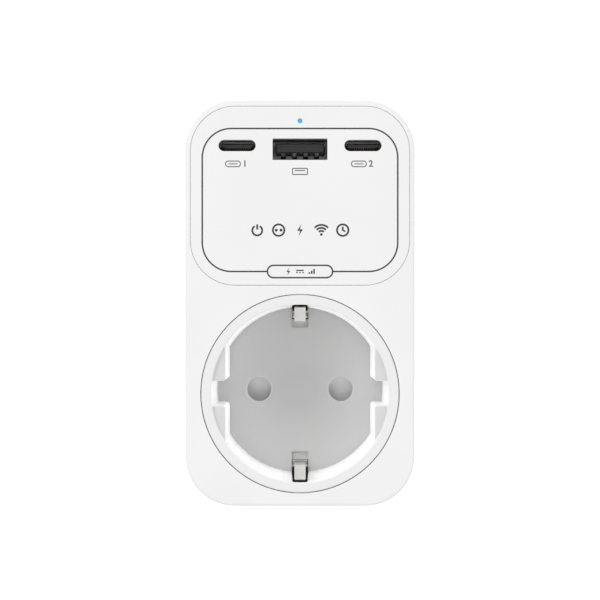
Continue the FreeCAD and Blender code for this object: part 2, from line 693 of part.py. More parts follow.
# ---- Light and button ---------------------------------------------------------------------------
def light_pipe():
    stem = rod_y(LIGHT_R, (FRONT_Y, INNER_FRONT_Y + 0.1), z=LIGHT_Z)
    barrel = rod_y(LIGHT_FLANGE_R - 0.5, (RECESS_Y + 0.1, INNER_FRONT_Y + 0.5), z=LIGHT_Z)
    flange = rod_y(LIGHT_FLANGE_R, (INNER_FRONT_Y, INNER_FRONT_Y + 1.2), z=LIGHT_Z)
    return joined([stem, barrel, flange])


def status_led():
    front = INNER_FRONT_Y + 1.6
    lamp = rod_y(LED_R, (front, front + LED_L), z=LIGHT_Z)
    lamp = lamp.makeFillet(LED_R * 0.8, edges_at(lamp, front))
    rim = rod_y(LED_R + 0.3, (front + LED_L - 1.0, front + LED_L), z=LIGHT_Z)
    half = LED_LEG_W / 2
    back = front + LED_L
    legs = []
    for side in (-1, 1):
        x = side * LED_LEG_X
        across = (x - half, x + half)
        legs.append(block(across, (back, back + 1.0), (LIGHT_Z - half, LIGHT_Z + half)))
        legs.append(block(across, (back + 1.0 - LED_LEG_W, back + 1.0), (PORT_BOARD_TOP, LIGHT_Z)))
    return joined([lamp, rim] + legs)


def button_outline(grow, z):
    """A flat disc with straight sides, standing along Z."""
    half = BUTTON_D / 2
    reach = BUTTON_W / 2 - half
    ends = [rod(half + grow, (x, BUTTON_Y, z[0]), (x, BUTTON_Y, z[1])) for x in (-reach, reach)]
    middle = block((-reach, reach), (BUTTON_Y - half - grow, BUTTON_Y + half + grow), z)
    return joined(ends + [middle])


def power_button():
    top = BODY_TOP - 0.1
    under = INNER_TOP - 0.1
    cap = button_outline(0, (under - BUTTON_FLANGE, top))
    rim = [e for e in cap.Edges if abs(e.BoundBox.ZMin - top) < 1e-4 and abs(e.BoundBox.ZMax - top) < 1e-4]
    cap = cap.makeFillet(0.3, rim)
    flange = button_outline(0.9, (under - BUTTON_FLANGE, under))
    stem = rod(PLUNGER_R, (0, BUTTON_Y, under - BUTTON_FLANGE - 0.4), (0, BUTTON_Y, under))
    return joined([cap, flange, stem])


def switch_top():
    return PORT_BOARD_TOP + SWITCH_H


def tactile_switch():
    half = SWITCH_W / 2
    case = block((-half, half), (BUTTON_Y - half, BUTTON_Y + half), (PORT_BOARD_TOP, switch_top()))
    well = rod(PLUNGER_R + 0.1, (0, BUTTON_Y, PORT_BOARD_TOP + 0.6), (0, BUTTON_Y, switch_top() + 1))
    return case.cut(well)


def switch_plunger():
    low = PORT_BOARD_TOP + 0.7 + BUTTON_TRAVEL
    return rod(PLUNGER_R, (0, BUTTON_Y, low), (0, BUTTON_Y, INNER_TOP - 0.1 - BUTTON_FLANGE - 0.4))


# ---- Socket insert ------------------------------------------------------------------------------
def guide_rib(side, way):
    """One of the four guide ribs: a wall segment with a leaning flat and a rounded corner at the notch."""
    low = RIB_NOTCH_W / 2
    top_y = FRONT_Y + RIB_SINK
    lean = RIB_DRAFT * (CUP_DEPTH - RIB_SINK) / CUP_DEPTH
    sunk = FLOOR_Y + 0.2
    profile = [(RIB_FLAT, sunk), (RIB_FLAT + lean, top_y), (CUP_OUTER_R, top_y), (CUP_OUTER_R, sunk)]
    rib = prism_z([(side * x, y) for x, y in profile], sorted((way * low, way * CUP_OUTER_R)))
    corner = [
        e for e in rib.Edges
        if abs(e.CenterOfMass.z - way * low) < 1e-3
        and e.BoundBox.YLength > CUP_DEPTH / 2
        and abs(e.CenterOfMass.x) < RIB_FLAT + 1
    ]
    rib = rib.makeFillet(RIB_CORNER_R, corner)
    top = [e for e in edges_at(rib, top_y) if abs(e.CenterOfMass.x) < CUP_OUTER_R - 0.1]
    rib = rib.makeFillet(0.4, [e for e in top if abs(e.CenterOfMass.x) < RIB_FLAT + 1.2])
    return rib.common(rod_y(CUP_OUTER_R - 0.8, (FRONT_Y, FLOOR_BACK_Y)))


def cup_profile():
    edge = 0.15
    return [
        (0, FLOOR_Y), (CUP_FLOOR_R, FLOOR_Y), (CUP_MOUTH_R, FRONT_Y + MOUTH_CHAMFER),
        (CUP_MOUTH_R + MOUTH_CHAMFER, FRONT_Y), (RING_R - edge, FRONT_Y), (RING_R, FRONT_Y + edge),
        (RING_R, FRONT_Y + RING_T), (CUP_OUTER_R, FRONT_Y + RING_T), (CUP_OUTER_R, FLOOR_BACK_Y),
        (0, FLOOR_BACK_Y),
    ]


def earth_slot(way):
    """Slot for an earth clip: a pocket in the floor, a way through it, and a tapering slot in the wall."""
    half = EARTH_SLOT_W / 2
    narrow = EARTH_MOUTH_W / 2
    outer = way * (CUP_OUTER_R + 1)
    front = FRONT_Y + EARTH_LIP
    back = FLOOR_BACK_Y + 1
    pocket_y = (FLOOR_Y - 1, FLOOR_Y + EARTH_POCKET)
    pocket = block((-half, half), pocket_y, sorted((way * EARTH_SLOT_R, way * (EARTH_PASS_R + 0.1))))
    profile = [
        (-half, back), (-half, FLOOR_Y), (-narrow, front), (narrow, front), (half, FLOOR_Y), (half, back),
    ]
    passage = prism_z(profile, sorted((way * EARTH_PASS_R, outer)))
    corners = [e for e in passage.Edges if e.BoundBox.ZLength > 1 and e.BoundBox.YMax < front + 0.01]
    return joined([pocket, passage.makeFillet(EARTH_SLOT_CORNER, corners)])


def frame_outline(depth):
    """Outside of the shutter's frame, with four screw bosses."""
    wide = FRAME_X + FRAME_WALL
    outer = block((-wide, wide), depth, (FRAME_BOTTOM - FRAME_WALL, FRAME_TOP + FRAME_WALL))
    return joined([outer] + [rod_y(SMALL_HEAD_R + SCREW_RIM, depth, x, z) for x, z in COVER_SCREWS])


def shutter_frame():
    """Walls behind the floor that the shutter slides in."""
    frame = frame_outline((FLOOR_BACK_Y - 0.2, COVER_Y[0]))
    return frame.cut(block((-FRAME_X, FRAME_X), (FLOOR_BACK_Y, COVER_Y[0] + 1), (FRAME_BOTTOM, FRAME_TOP)))


def snap_lugs():
    """Four lugs that catch behind the front wall."""
    depth = (INNER_FRONT_Y + 0.1, INNER_FRONT_Y + 1.1)
    ring = rod_y(CUP_OUTER_R + 0.8, depth).cut(rod_y(CUP_OUTER_R - 0.3, (depth[0] - 1, depth[1] + 1)))
    lugs = []
    for angle in (45, 135, 225, 315):
        bar = block((CUP_OUTER_R - 3, CUP_OUTER_R + 3), depth, (-2.5, 2.5))
        bar.rotate(point(0, 0, 0), point(0, 1, 0), angle)
        lugs.append(ring.common(bar))
    return lugs


def socket_insert():
    cup = turned(cup_profile())
    ribs = [guide_rib(side, way) for side in (-1, 1) for way in (-1, 1)]
    cup = joined([cup] + ribs + [shutter_frame()] + snap_lugs())
    cuts = [earth_slot(1), earth_slot(-1)]
    for x in (-PIN_X, PIN_X):
        cuts.append(rod_y(PIN_HOLE_R, (FLOOR_Y - 1, FLOOR_BACK_Y + 0.1), x))
        cuts.append(cone_y((PIN_HOLE_R + HOLE_CHAMFER, PIN_HOLE_R), (FLOOR_Y, FLOOR_Y + HOLE_CHAMFER), x))
    for x, z in COVER_SCREWS:
        cuts.append(rod_y(SMALL_SCREW_R + FIT, (FLOOR_BACK_Y + 0.4, COVER_Y[0] + 1), x, z))
    for cut in cuts:
        cup = cup.cut(cut)
    return cup


# ---- Shutter ------------------------------------------------------------------------------------
def safety_shutter():
    """Two ramped pads joined by a bridge. A pin in both holes pushes it up."""
    front, back = SHUTTER_Y
    pads = []
    for x in (-PIN_X, PIN_X):
        profile = [
            (front, PAD_HALF), (back, PAD_HALF), (back, -PAD_HALF),
            (front + SHUTTER_RAMP, -PAD_HALF), (front, PAD_HALF - 0.6),
        ]
        pads.append(prism_x(profile, (x - PAD_HALF, x + PAD_HALF)))
    inner = PIN_X - PAD_HALF + 0.1
    bridge = block((-inner, inner), (back - BRIDGE_D, back), (-PAD_HALF, -PAD_HALF + BRIDGE_H))
    top = -PAD_HALF + BRIDGE_H
    peg_y = back - SPRING_IN
    peg = rod(SPRING_R - SPRING_WIRE_R - 0.1, (0, peg_y, top - 0.2), (0, peg_y, top + 1.5))
    return joined(pads + [bridge, peg])


def shutter_spring():
    """Compression spring from the shutter's bridge to the frame's top wall."""
    low = -PAD_HALF + BRIDGE_H + SPRING_WIRE_R
    high = FRAME_TOP - SPRING_WIRE_R
    length = high - low
    helix = Part.makeHelix(length / SPRING_TURNS, length, SPRING_R)
    start = point(SPRING_R, 0, 0)
    section = Part.Wire([Part.makeCircle(SPRING_WIRE_R, start, point(0, 1, 0))])
    coil = Part.Wire(helix.Edges).makePipeShell([section], True, True)
    coil.translate(point(0, SHUTTER_Y[1] - SPRING_IN, low))
    return coil


def shutter_cover():
    """Plate that closes the shutter's frame, with room for the pins."""
    cover = frame_outline(COVER_Y)
    for x in (-PIN_X, PIN_X):
        cover = cover.cut(rod_y(PIN_HOLE_R + 0.2, (COVER_Y[0] - 1, COVER_Y[1] + 1), x))
    for x, z in COVER_SCREWS:
        cover = cover.cut(rod_y(SMALL_SCREW_R + FIT, (COVER_Y[0] - 1, COVER_Y[1] + 1), x, z))
    return cover


# ---- Contacts -----------------------------------------------------------------------------------
def contact_block():
    """Insulating block with a chamber for each contact and a groove for the earth strap."""
    half_x = PIN_X + CONTACT_W / 2 + CHAMBER_GAP + BLOCK_WALL
    half_z = CONTACT_H / 2 + CHAMBER_GAP + BLOCK_WALL
    rim = SMALL_HEAD_R + SCREW_RIM
    reach = COVER_SCREW_X + rim
    flange_y = (BLOCK_Y[0], BLOCK_Y[0] + BLOCK_FLANGE_T)
    flange = block((-reach, reach), flange_y, (-half_z, FRAME_TOP + rim))
    body = block((-half_x, half_x), BLOCK_Y, (-half_z, half_z))
    result = joined([flange, body])
    groove = STRAP_W / 2 + CHAMBER_GAP
    groove_y = (BLOCK_Y[0] - 1, STRAP_Y[1] + FIT)
    result = result.cut(block((-groove, groove), groove_y, (-half_z - 1, FRAME_TOP + 3)))
    for x in (-PIN_X, PIN_X):
        wide = CONTACT_W / 2 + CHAMBER_GAP
        tall = CONTACT_H / 2 + CHAMBER_GAP
        result = result.cut(block((x - wide, x + wide), (BLOCK_Y[0] - 1, BLOCK_Y[1] + 1), (-tall, tall)))
        tab = math.copysign(CONTACT_TAB_X, x)
        side = CONTACT_TAB_W / 2 + 2 * CHAMBER_GAP
        tab_y = (CONTACT_TAB_Y - CHAMBER_GAP, BLOCK_Y[1] + 1)
        result = result.cut(block((tab - side, tab + side), tab_y, (0, half_z + 1)))
    for x, z in COVER_SCREWS:
        result = result.cut(rod_y(SMALL_SCREW_R + FIT, (flange_y[0] - 1, flange_y[1] + 1), x, z))
    return result


def socket_screws():
    """Screws that hold the contact block and the shutter cover to the socket insert."""
    seat = BLOCK_Y[0] + BLOCK_FLANGE_T
    screws = []
    for x, z in COVER_SCREWS:
        head = rod_y(SMALL_HEAD_R, (seat, seat + SMALL_HEAD_T), x, z)
        slot = block((x - 2, x + 2), (seat + 0.5, seat + 2), (z - 0.25, z + 0.25))
        shank = rod_y(SMALL_SCREW_R, (FLOOR_BACK_Y + 0.6, seat), x, z)
        screws.append(head.fuse(shank).cut(slot))
    return Part.makeCompound(screws)


def socket_contact():
    """Two springy leaves that grip a pin, joined by a base, with a solder tab. The left-hand one."""
    front, back = CONTACT_Y
    outer = CONTACT_H / 2
    inner = outer - STRAP_T
    grip = CONTACT_GRIP_R
    leaf = [
        (back, outer), (back, inner), (front + 5.0, inner), (front + 2.4, grip), (front + 1.6, grip),
        (front + 0.3, inner + 0.08), (front + 0.3, outer), (front + 1.6, grip + STRAP_T),
        (front + 2.4, grip + STRAP_T), (front + 5.0, outer),
    ]
    across = (-PIN_X - CONTACT_W / 2, -PIN_X + CONTACT_W / 2)
    upper = prism_x(leaf, across)
    lower = flipped(upper)
    base = block(across, (back - STRAP_T, back), (-outer, outer))
    side = CONTACT_TAB_W / 2
    tab_y = (CONTACT_TAB_Y, CONTACT_TAB_Y + STRAP_T)
    tab = block((-CONTACT_TAB_X - side, -CONTACT_TAB_X + side), tab_y, (inner, CONTACT_TAB_TOP))
    return joined([upper, lower, base, tab])


# ---- Earth --------------------------------------------------------------------------------------
def earth_roll(gap):
    """Rolled end of the strap round the clip's heel, open towards the front."""
    half = ROLL_W / 2
    y = CLIP_ROOT_Y
    z = CLIP_ROOT_R
    roll = rod(ROLL_R, (-half, y, z), (half, y, z))
    bore = rod(CLIP_T / 2 + gap, (-half - 1, y, z), (half + 1, y, z))
    mouth = CLIP_T / 2 + ROLL_MOUTH
    opening = block((-half - 1, half + 1), (y - ROLL_R - 1, y), (z - mouth, z + mouth))
    return roll.cut(bore).cut(opening)


def earth_strap():
    """Strap behind the shutter cover, from the upper clip's root to the lower one's."""
    half = STRAP_W / 2
    reach = CLIP_ROOT_R + ROLL_R
    bar = block((-half, half), STRAP_Y, (-reach, reach))
    leg = block((-half, half), (CLIP_ROOT_Y + ROLL_R * 0.7, STRAP_Y[1]), (reach - STRAP_T, reach))
    ends = [leg, flipped(leg)]
    roll = earth_roll(FIT)
    foot_y = (CLIP_ROOT_Y + 0.8, CLIP_ROOT_Y + ROLL_R + 0.3)
    foot = block((-ROLL_W / 2, ROLL_W / 2), foot_y, (CLIP_ROOT_R, reach))
    ends += [roll, flipped(roll), foot, flipped(foot)]
    strap = joined([bar] + ends)
    return strap.cut(rod_y(SMALL_SCREW_R, (STRAP_Y[0] - 1, STRAP_Y[1] + 1), z=rivet_height("front")))


def clip_centre_line():
    """(y, z) points of the upper clip's middle, from its heel to its tip."""
    half = CLIP_T / 2
    return [
        (CLIP_ROOT_Y, CLIP_ROOT_R),
        (FRONT_Y + CLIP_BUMP_DEPTH + 1.0, CLIP_BUMP_R + half + 0.12),
        (FRONT_Y + CLIP_BUMP_DEPTH, CLIP_BUMP_R + half),
        (FRONT_Y + CLIP_BUMP_DEPTH - 1.0, CLIP_BUMP_R + half + 0.15),
        (FRONT_Y + CLIP_TIP_DEPTH + 0.4, CLIP_TIP_R + half),
    ]


def earth_clip():
    """The upper clip: a strip from its heel over the bump that touches a plug, to its tip."""
    line = clip_centre_line()
    half = CLIP_T / 2
    across = (-CLIP_W / 2, CLIP_W / 2)
    pieces = []
    for (y0, z0), (y1, z1) in zip(line, line[1:]):
        length = math.hypot(y1 - y0, z1 - z0)
        off = (-(z1 - z0) / length * half, (y1 - y0) / length * half)
        corners = [
            (y0 + off[0], z0 + off[1]), (y1 + off[0], z1 + off[1]),
            (y1 - off[0], z1 - off[1]), (y0 - off[0], z0 - off[1]),
        ]
        pieces.append(prism_x(corners, across))
    for y, z in line:
        pieces.append(rod(half, (across[0], y, z), (across[1], y, z)))
    return joined(pieces)


def rivet_height(end):
    """Height of the rivet at the earth link's front or rear flange."""
    return -EARTH_LINK_DROP + (-RIVET_OUT if end == "front" else RIVET_OUT)


def earth_link():
    """Z-shaped plate from the strap back to the crossbar."""
    half = STRAP_W / 2 - 0.5
    middle = -EARTH_LINK_DROP
    web_z = (middle - STRAP_T / 2, middle + STRAP_T / 2)
    web = block((-half, half), (STRAP_Y[1], CROSSBAR_Y[0]), web_z)
    front = block((-half, half), (STRAP_Y[1], STRAP_Y[1] + STRAP_T), (middle - EARTH_LINK_FLANGE, middle))
    rear = block((-half, half), (CROSSBAR_Y[0] - STRAP_T, CROSSBAR_Y[0]), (middle, middle + EARTH_LINK_FLANGE))
    link = joined([web, front, rear])
    for end in ("front", "rear"):
        link = link.cut(rod_y(SMALL_SCREW_R, (STRAP_Y[0] - 1, CROSSBAR_Y[1] + 1), z=rivet_height(end)))
    return link


def earth_rivets():
    front_z = rivet_height("front")
    rear_z = rivet_height("rear")
    front_y = (STRAP_Y[0], STRAP_Y[1] + STRAP_T)
    rear_y = (CROSSBAR_Y[0] - STRAP_T, CROSSBAR_Y[1])
    front = joined([
        rod_y(SMALL_SCREW_R - FIT, front_y, z=front_z),
        rod_y(RIVET_HEAD_R, (front_y[1], front_y[1] + 0.5), z=front_z),
    ])
    rear = joined([
        rod_y(SMALL_SCREW_R - FIT, rear_y, z=rear_z),
        rod_y(RIVET_HEAD_R, (rear_y[0] - 0.5, rear_y[0]), z=rear_z),
    ])
    return Part.makeCompound([front, rear])


def earth_crossbar():
    """Bar inside the boss that joins the two side strips, the earth sleeve and the earth link."""
    half = SIDE_EARTH_W / 2
    inner = CHANNEL_BACK - 0.4
    bar = block((-half, half), CROSSBAR_Y, (-inner, inner))
    pad = rod_y(SLEEVE_R + SLEEVE_WALL + 0.2, CROSSBAR_Y, z=EARTH_HOLE_Z).common(
        block((-BOSS_R, BOSS_R), CROSSBAR_Y, (-inner, inner)))
    bar = joined([bar, pad])
    return bar.cut(rod_y(SMALL_SCREW_R, (CROSSBAR_Y[0] - 1, CROSSBAR_Y[1] + 1), z=rivet_height("rear")))


def earth_strip():
    """The upper earth strip on the outside of the boss, with a leg in to the crossbar."""
    half = SIDE_EARTH_W / 2
    run = block((-half, half), (CROSSBAR_Y[0], -BOSS_EDGE - 0.1), (CHANNEL_FLOOR, SIDE_EARTH_R))
    inner = CHANNEL_BACK - 0.4
    leg = block((-half, half), CROSSBAR_Y, (inner, SIDE_EARTH_R))
    end = -BOSS_EDGE - 0.1
    toe = block((-half, half), (end - STRAP_T, end), (CHANNEL_FLOOR - 1.1, SIDE_EARTH_R))
    strip = joined([run, leg, toe])
    outer = [
        e for e in strip.Edges
        if abs(e.CenterOfMass.z - SIDE_EARTH_R) < 1e-3 and e.BoundBox.XLength > half
    ]
    return strip.makeFillet(STRAP_T * 0.6, outer)


def earth_sleeve():
    tube = rod_y(SLEEVE_R + SLEEVE_WALL, SLEEVE_Y, z=EARTH_HOLE_Z)
    return tube.cut(rod_y(SLEEVE_R, (SLEEVE_Y[0] - 1, SLEEVE_Y[1] + 1), z=EARTH_HOLE_Z))


# ---- Pins ---------------------------------------------------------------------------------------
def plug_pin(x):
    """Round pin with a shoulder on the end face, a neck through it, a head and a tail inside."""
    shaft = rod_y(PIN_R, (-PIN_SEAT, PIN_L), x)
    shaft = shaft.makeFillet(PIN_TIP_R, edges_at(shaft, PIN_L))
    neck = rod_y(PIN_NECK_R, (TAIL_Y, -PIN_SEAT), x)
    head = rod_y(PIN_HEAD_R, HEAD_Y, x)
    return joined([shaft, neck, head])


def pin_retainer():
    """Plate that holds both pins' heads against the end wall."""
    reach = PIN_X + PIN_HEAD_R
    plate = slab(2 * reach, 2 * (RETAINER_SCREW_Z + SMALL_HEAD_R), 2.0, RETAINER_Y)
    for x in (-PIN_X, PIN_X):
        plate = plate.cut(rod_y(PIN_NECK_R + FIT, (RETAINER_Y[0] - 1, RETAINER_Y[1] + 1), x))
    for side in (-1, 1):
        hole = rod_y(SMALL_SCREW_R + FIT, (RETAINER_Y[0] - 1, RETAINER_Y[1] + 1), z=side * RETAINER_SCREW_Z)
        plate = plate.cut(hole)
    return plate


def retainer_screws():
    screws = []
    for side in (-1, 1):
        z = side * RETAINER_SCREW_Z
        head = rod_y(SMALL_HEAD_R, (RETAINER_Y[0] - SMALL_HEAD_T, RETAINER_Y[0]), z=z)
        shank = rod_y(SMALL_SCREW_R, (RETAINER_Y[0], BOSS_END_Y + 1.0), z=z)
        slot = block((-2, 2), (RETAINER_Y[0] - 2, RETAINER_Y[0] - 0.5), (z - 0.25, z + 0.25))
        screws.append(head.fuse(shank).cut(slot))
    return Part.makeCompound(screws)


# ---- Leads --------------------------------------------------------------------------------------
def live_lead_in():
    """From the live pin's tail up to the lower edge of the power board."""
    x = -PIN_X
    back = TAIL_Y - TAIL_LEAD_L
    rise = TAIL_LEAD_RISE
    stops = [(x, TAIL_Y, 0), (x, back, 0), (x, back, rise), (x, LEAD_Y, rise), (x, LEAD_Y, BOARD_Z[0])]
    return lead(stops, LEAD_R, LEAD_BEND)


def contact_lead():
    """From the left contact's tab up to the lower edge of the power board."""
    x = -CONTACT_TAB_X
    tab_y = CONTACT_TAB_Y + STRAP_T / 2
    middle = (CONTACT_TAB_TOP + BOARD_Z[0]) / 2
    if abs(tab_y - LEAD_Y) < 0.01:
        return rod(LEAD_R, (x, tab_y, CONTACT_TAB_TOP), (x, LEAD_Y, BOARD_Z[0]))
    lean = abs(tab_y - LEAD_Y) / 2
    bends = [(x, tab_y, middle - lean), (x, LEAD_Y, middle + lean)]
    stops = [(x, tab_y, CONTACT_TAB_TOP)] + bends + [(x, LEAD_Y, BOARD_Z[0])]
    return lead(stops, LEAD_R, LEAD_BEND)


def neutral_link():
    """Bar from the neutral pin's tail to the base of the neutral contact."""
    return block((PIN_X - 1.5, PIN_X + 1.5), (CONTACT_Y[1], TAIL_Y), (-0.5, 0.5))


# ---- Boards and components ----------------------------------------------------------------------
def power_board():
    board = block((-POWER_BOARD_X, POWER_BOARD_X), BOARD_Y, BOARD_Z)
    for x, z in HOUSING_SCREWS:
        board = board.cut(rod_y(REAR_POST_R + 0.3, (BOARD_Y[0] - 1, BOARD_Y[1] + 1), x, z))
    return board


def insulation_sheet():
    wide = POWER_BOARD_X - 1
    sheet = block((-wide, wide), (REAR_INNER_Y - FILM_T, REAR_INNER_Y), BOARD_Z)
    for x, z in HOUSING_SCREWS:
        sheet = sheet.cut(rod_y(REAR_POST_R + 0.5, (REAR_INNER_Y - 2, REAR_INNER_Y + 1), x, z))
    return sheet


def port_board():
    return block((-PORT_BOARD_X, PORT_BOARD_X), (INNER_FRONT_Y + 0.5, BOARD_Y[0] - 0.2), PORT_BOARD_Z)


def board_pins():
    """Pins that join the port board to the power board."""
    pins = []
    low = PORT_BOARD_Z[0] - HEADER_DROP
    front = BOARD_Y[0] - HEADER_REACH
    for number in range(HEADER_COUNT):
        x = (number - (HEADER_COUNT - 1) / 2) * HEADER_PITCH
        across = (x - HEADER_W / 2, x + HEADER_W / 2)
        run = block(across, (front, BOARD_Y[0]), (low, low + HEADER_W))
        rise = block(across, (front, front + HEADER_W), (low, PORT_BOARD_Z[0]))
        pins.append(joined([run, rise]))
    return Part.makeCompound(pins)


def on_board(height):
    """Y pair of a component that stands on the front of the power board."""
    return (BOARD_Y[0] - height, BOARD_Y[0])


def up_board(pair):
    """Z pair from heights above the power board's lower edge."""
    return (BOARD_Z[0] + pair[0], BOARD_Z[0] + pair[1])


def boxed(x, height, z, radius):
    """A moulded case on the power board, with its four standing edges rounded."""
    case = block(x, on_board(height), up_board(z))
    return case.makeFillet(radius, [e for e in case.Edges if e.BoundBox.YLength > height - 0.1])


def relay():
    return boxed(RELAY_X, RELAY_D, RELAY_Z, 0.5)


def suppression_capacitor():
    return boxed(SUPPRESSOR_X, SUPPRESSOR_D, SUPPRESSOR_Z, 0.4)


def bridge_rectifier():
    return block(RECTIFIER_X, on_board(RECTIFIER_D), up_board(RECTIFIER_Z))


def transformer_core():
    """E-shaped ferrite halves as one frame with an open winding window on each side."""
    z = BOARD_Z[0] + CORE_UP
    front = BOARD_Y[0] - CORE_FRONT
    tall = CORE_H / 2
    frame = block((-CORE_W / 2, CORE_W / 2), (front, front + CORE_D), (z - tall, z + tall))
    window_y = (front + CORE_YOKE, front + CORE_D - CORE_YOKE)
    for side in (-1, 1):
        window = sorted((side * CORE_LIMB / 2, side * CORE_WINDOW))
        frame = frame.cut(block(window, window_y, (z - tall - 1, z + tall + 1)))
    return frame


def transformer_winding():
    """Bobbin with its winding round the middle limb."""
    z = BOARD_Z[0] + CORE_UP
    front = BOARD_Y[0] - CORE_FRONT
    depth = (front + CORE_YOKE + WINDING_GAP, front + CORE_D - CORE_YOKE - WINDING_GAP)
    outer = slab(2 * (CORE_WINDOW - WINDING_GAP), WINDING_H, WINDING_R, depth, z=z)
    limb = CORE_LIMB / 2 + WINDING_GAP / 2
    tall = CORE_H / 2 + WINDING_GAP / 2
    return outer.cut(block((-limb, limb), (depth[0] - 1, depth[1] + 1), (z - tall, z + tall)))


def bulk_capacitor(step):
    """A can lying across the board's front, with a rolled groove."""
    z = BOARD_Z[0] + CAN_UP + step * CAN_STEP
    ends = on_board(CAN_L)
    can = rod_y(CAN_R, ends, CAN_X, z)
    can = can.makeFillet(CAN_EDGE, edges_at(can, ends[0]))
    groove = rod_y(CAN_R + 0.5, (ends[1] - CAN_GROOVE_AT - CAN_EDGE, ends[1] - CAN_GROOVE_AT), CAN_X, z)
    return can.cut(groove.cut(rod_y(CAN_R - 0.25, ends, CAN_X, z)))


def choke_core():
    z = BOARD_Z[0] + CHOKE_UP
    ring = rod_y(CHOKE_R, on_board(CHOKE_L), CHOKE_X, z)
    return ring.cut(rod_y(CHOKE_BORE_R, on_board(CHOKE_L + 1), CHOKE_X, z))


def fuse():
    body = rod_y(FUSE_R, on_board(FUSE_L), FUSE_X, BOARD_Z[0] + FUSE_UP)
    return body.makeFillet(0.5, edges_at(body, BOARD_Y[0] - FUSE_L))


def varistor():
    """A coated disc on edge, a little in front of the board."""
    z = BOARD_Z[0] + FUSE_UP
    y = BOARD_Y[0] - VARISTOR_R - 0.6
    disc = rod(VARISTOR_R, (VARISTOR_X, y, z - VARISTOR_T / 2), (VARISTOR_X, y, z + VARISTOR_T / 2))
    return disc.makeFillet(0.8, disc.Edges[:1])


def output_capacitor(side):
    """A polymer can that hangs from the port board."""
    x = side * OUTPUT_CAN_X
    y = BOARD_Y[0] - OUTPUT_CAN_OUT
    low = PORT_BOARD_Z[0] - OUTPUT_CAN_L
    can = rod(OUTPUT_CAN_R, (x, y, low), (x, y, PORT_BOARD_Z[0]))
    return can.makeFillet(0.4, [e for e in can.Edges if e.BoundBox.ZMax < low + 0.1])


def radio_module():
    depth = (SEAM_Y - RADIO_Y[0], SEAM_Y - RADIO_Y[1])
    return block(RADIO_X, depth, (PORT_BOARD_TOP, PORT_BOARD_TOP + RADIO_T))


def radio_shield():
    low = PORT_BOARD_TOP + RADIO_T
    depth = (SEAM_Y - RADIO_Y[0] + 0.6, SEAM_Y - RADIO_Y[1] - RADIO_AERIAL)
    can = block((RADIO_X[0] + 0.6, RADIO_X[1] - 1.6), depth, (low, low + SHIELD_H))
    return can.makeFillet(0.4, [e for e in can.Edges if e.BoundBox.ZLength > SHIELD_H - 0.1])


# ---- All pieces ---------------------------------------------------------------------------------
def all_parts():
    contact = socket_contact()
    clip = earth_clip()
    strip = earth_strip()
    lead_out = contact_lead()
    parts = {
        "front_housing": front_housing(),
        "rear_housing": rear_housing(),
        "housing_screws": housing_screws(),
        "fascia_panel": fascia_panel(),
        "light_pipe": light_pipe(),
        "status_led": status_led(),
        "power_button": power_button(),
        "switch_plunger": switch_plunger(),
        "tactile_switch": tactile_switch(),
        "socket_insert": socket_insert(),
        "safety_shutter": safety_shutter(),
        "shutter_spring": shutter_spring(),
        "shutter_cover": shutter_cover(),
        "contact_block": contact_block(),
        "socket_screws": socket_screws(),
        "live_contact": contact,
        "neutral_contact": mirrored(contact),
        "earth_clip_upper": clip,
        "earth_clip_lower": flipped(clip),
        "earth_strap": earth_strap(),
        "earth_link": earth_link(),
        "earth_rivets": earth_rivets(),
        "earth_crossbar": earth_crossbar(),
        "earth_strip_upper": strip,
        "earth_strip_lower": flipped(strip),
        "earth_sleeve": earth_sleeve(),
        "live_pin": plug_pin(-PIN_X),
        "neutral_pin": plug_pin(PIN_X),
        "pin_retainer": pin_retainer(),
        "retainer_screws": retainer_screws(),
        "live_lead_in": live_lead_in(),
        "live_lead_out": lead_out,
        "neutral_lead": mirrored(lead_out),
        "neutral_link": neutral_link(),
        "power_board": power_board(),
        "insulation_sheet": insulation_sheet(),
        "port_board": port_board(),
        "board_pins": board_pins(),
        "relay": relay(),
        "transformer_core": transformer_core(),
        "transformer_winding": transformer_winding(),
        "bulk_capacitor_lower": bulk_capacitor(0),
        "bulk_capacitor_upper": bulk_capacitor(1),
        "suppression_capacitor": suppression_capacitor(),
        "choke_core": choke_core(),
        "fuse": fuse(),
        "varistor": varistor(),
        "bridge_rectifier": bridge_rectifier(),
        "output_capacitor_left": output_capacitor(-1),
        "output_capacitor_right": output_capacitor(1),
        "radio_module": radio_module(),
        "radio_shield": radio_shield(),
        "wide_port_tongue": wide_port_tongue(),
        "wide_port_contacts": wide_port_contacts(),
    }
    for port in PORTS:
        parts[port + "_shell"] = port_shell(port)
    for port in ("oval_port_left", "oval_port_right"):
        parts[port + "_tongue"] = oval_port_tongue(port)
    return parts


os.makedirs("parts", exist_ok=True)
for name, shape in all_parts().items():
    shape.exportStep("parts/" + name + ".step")
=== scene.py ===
import math

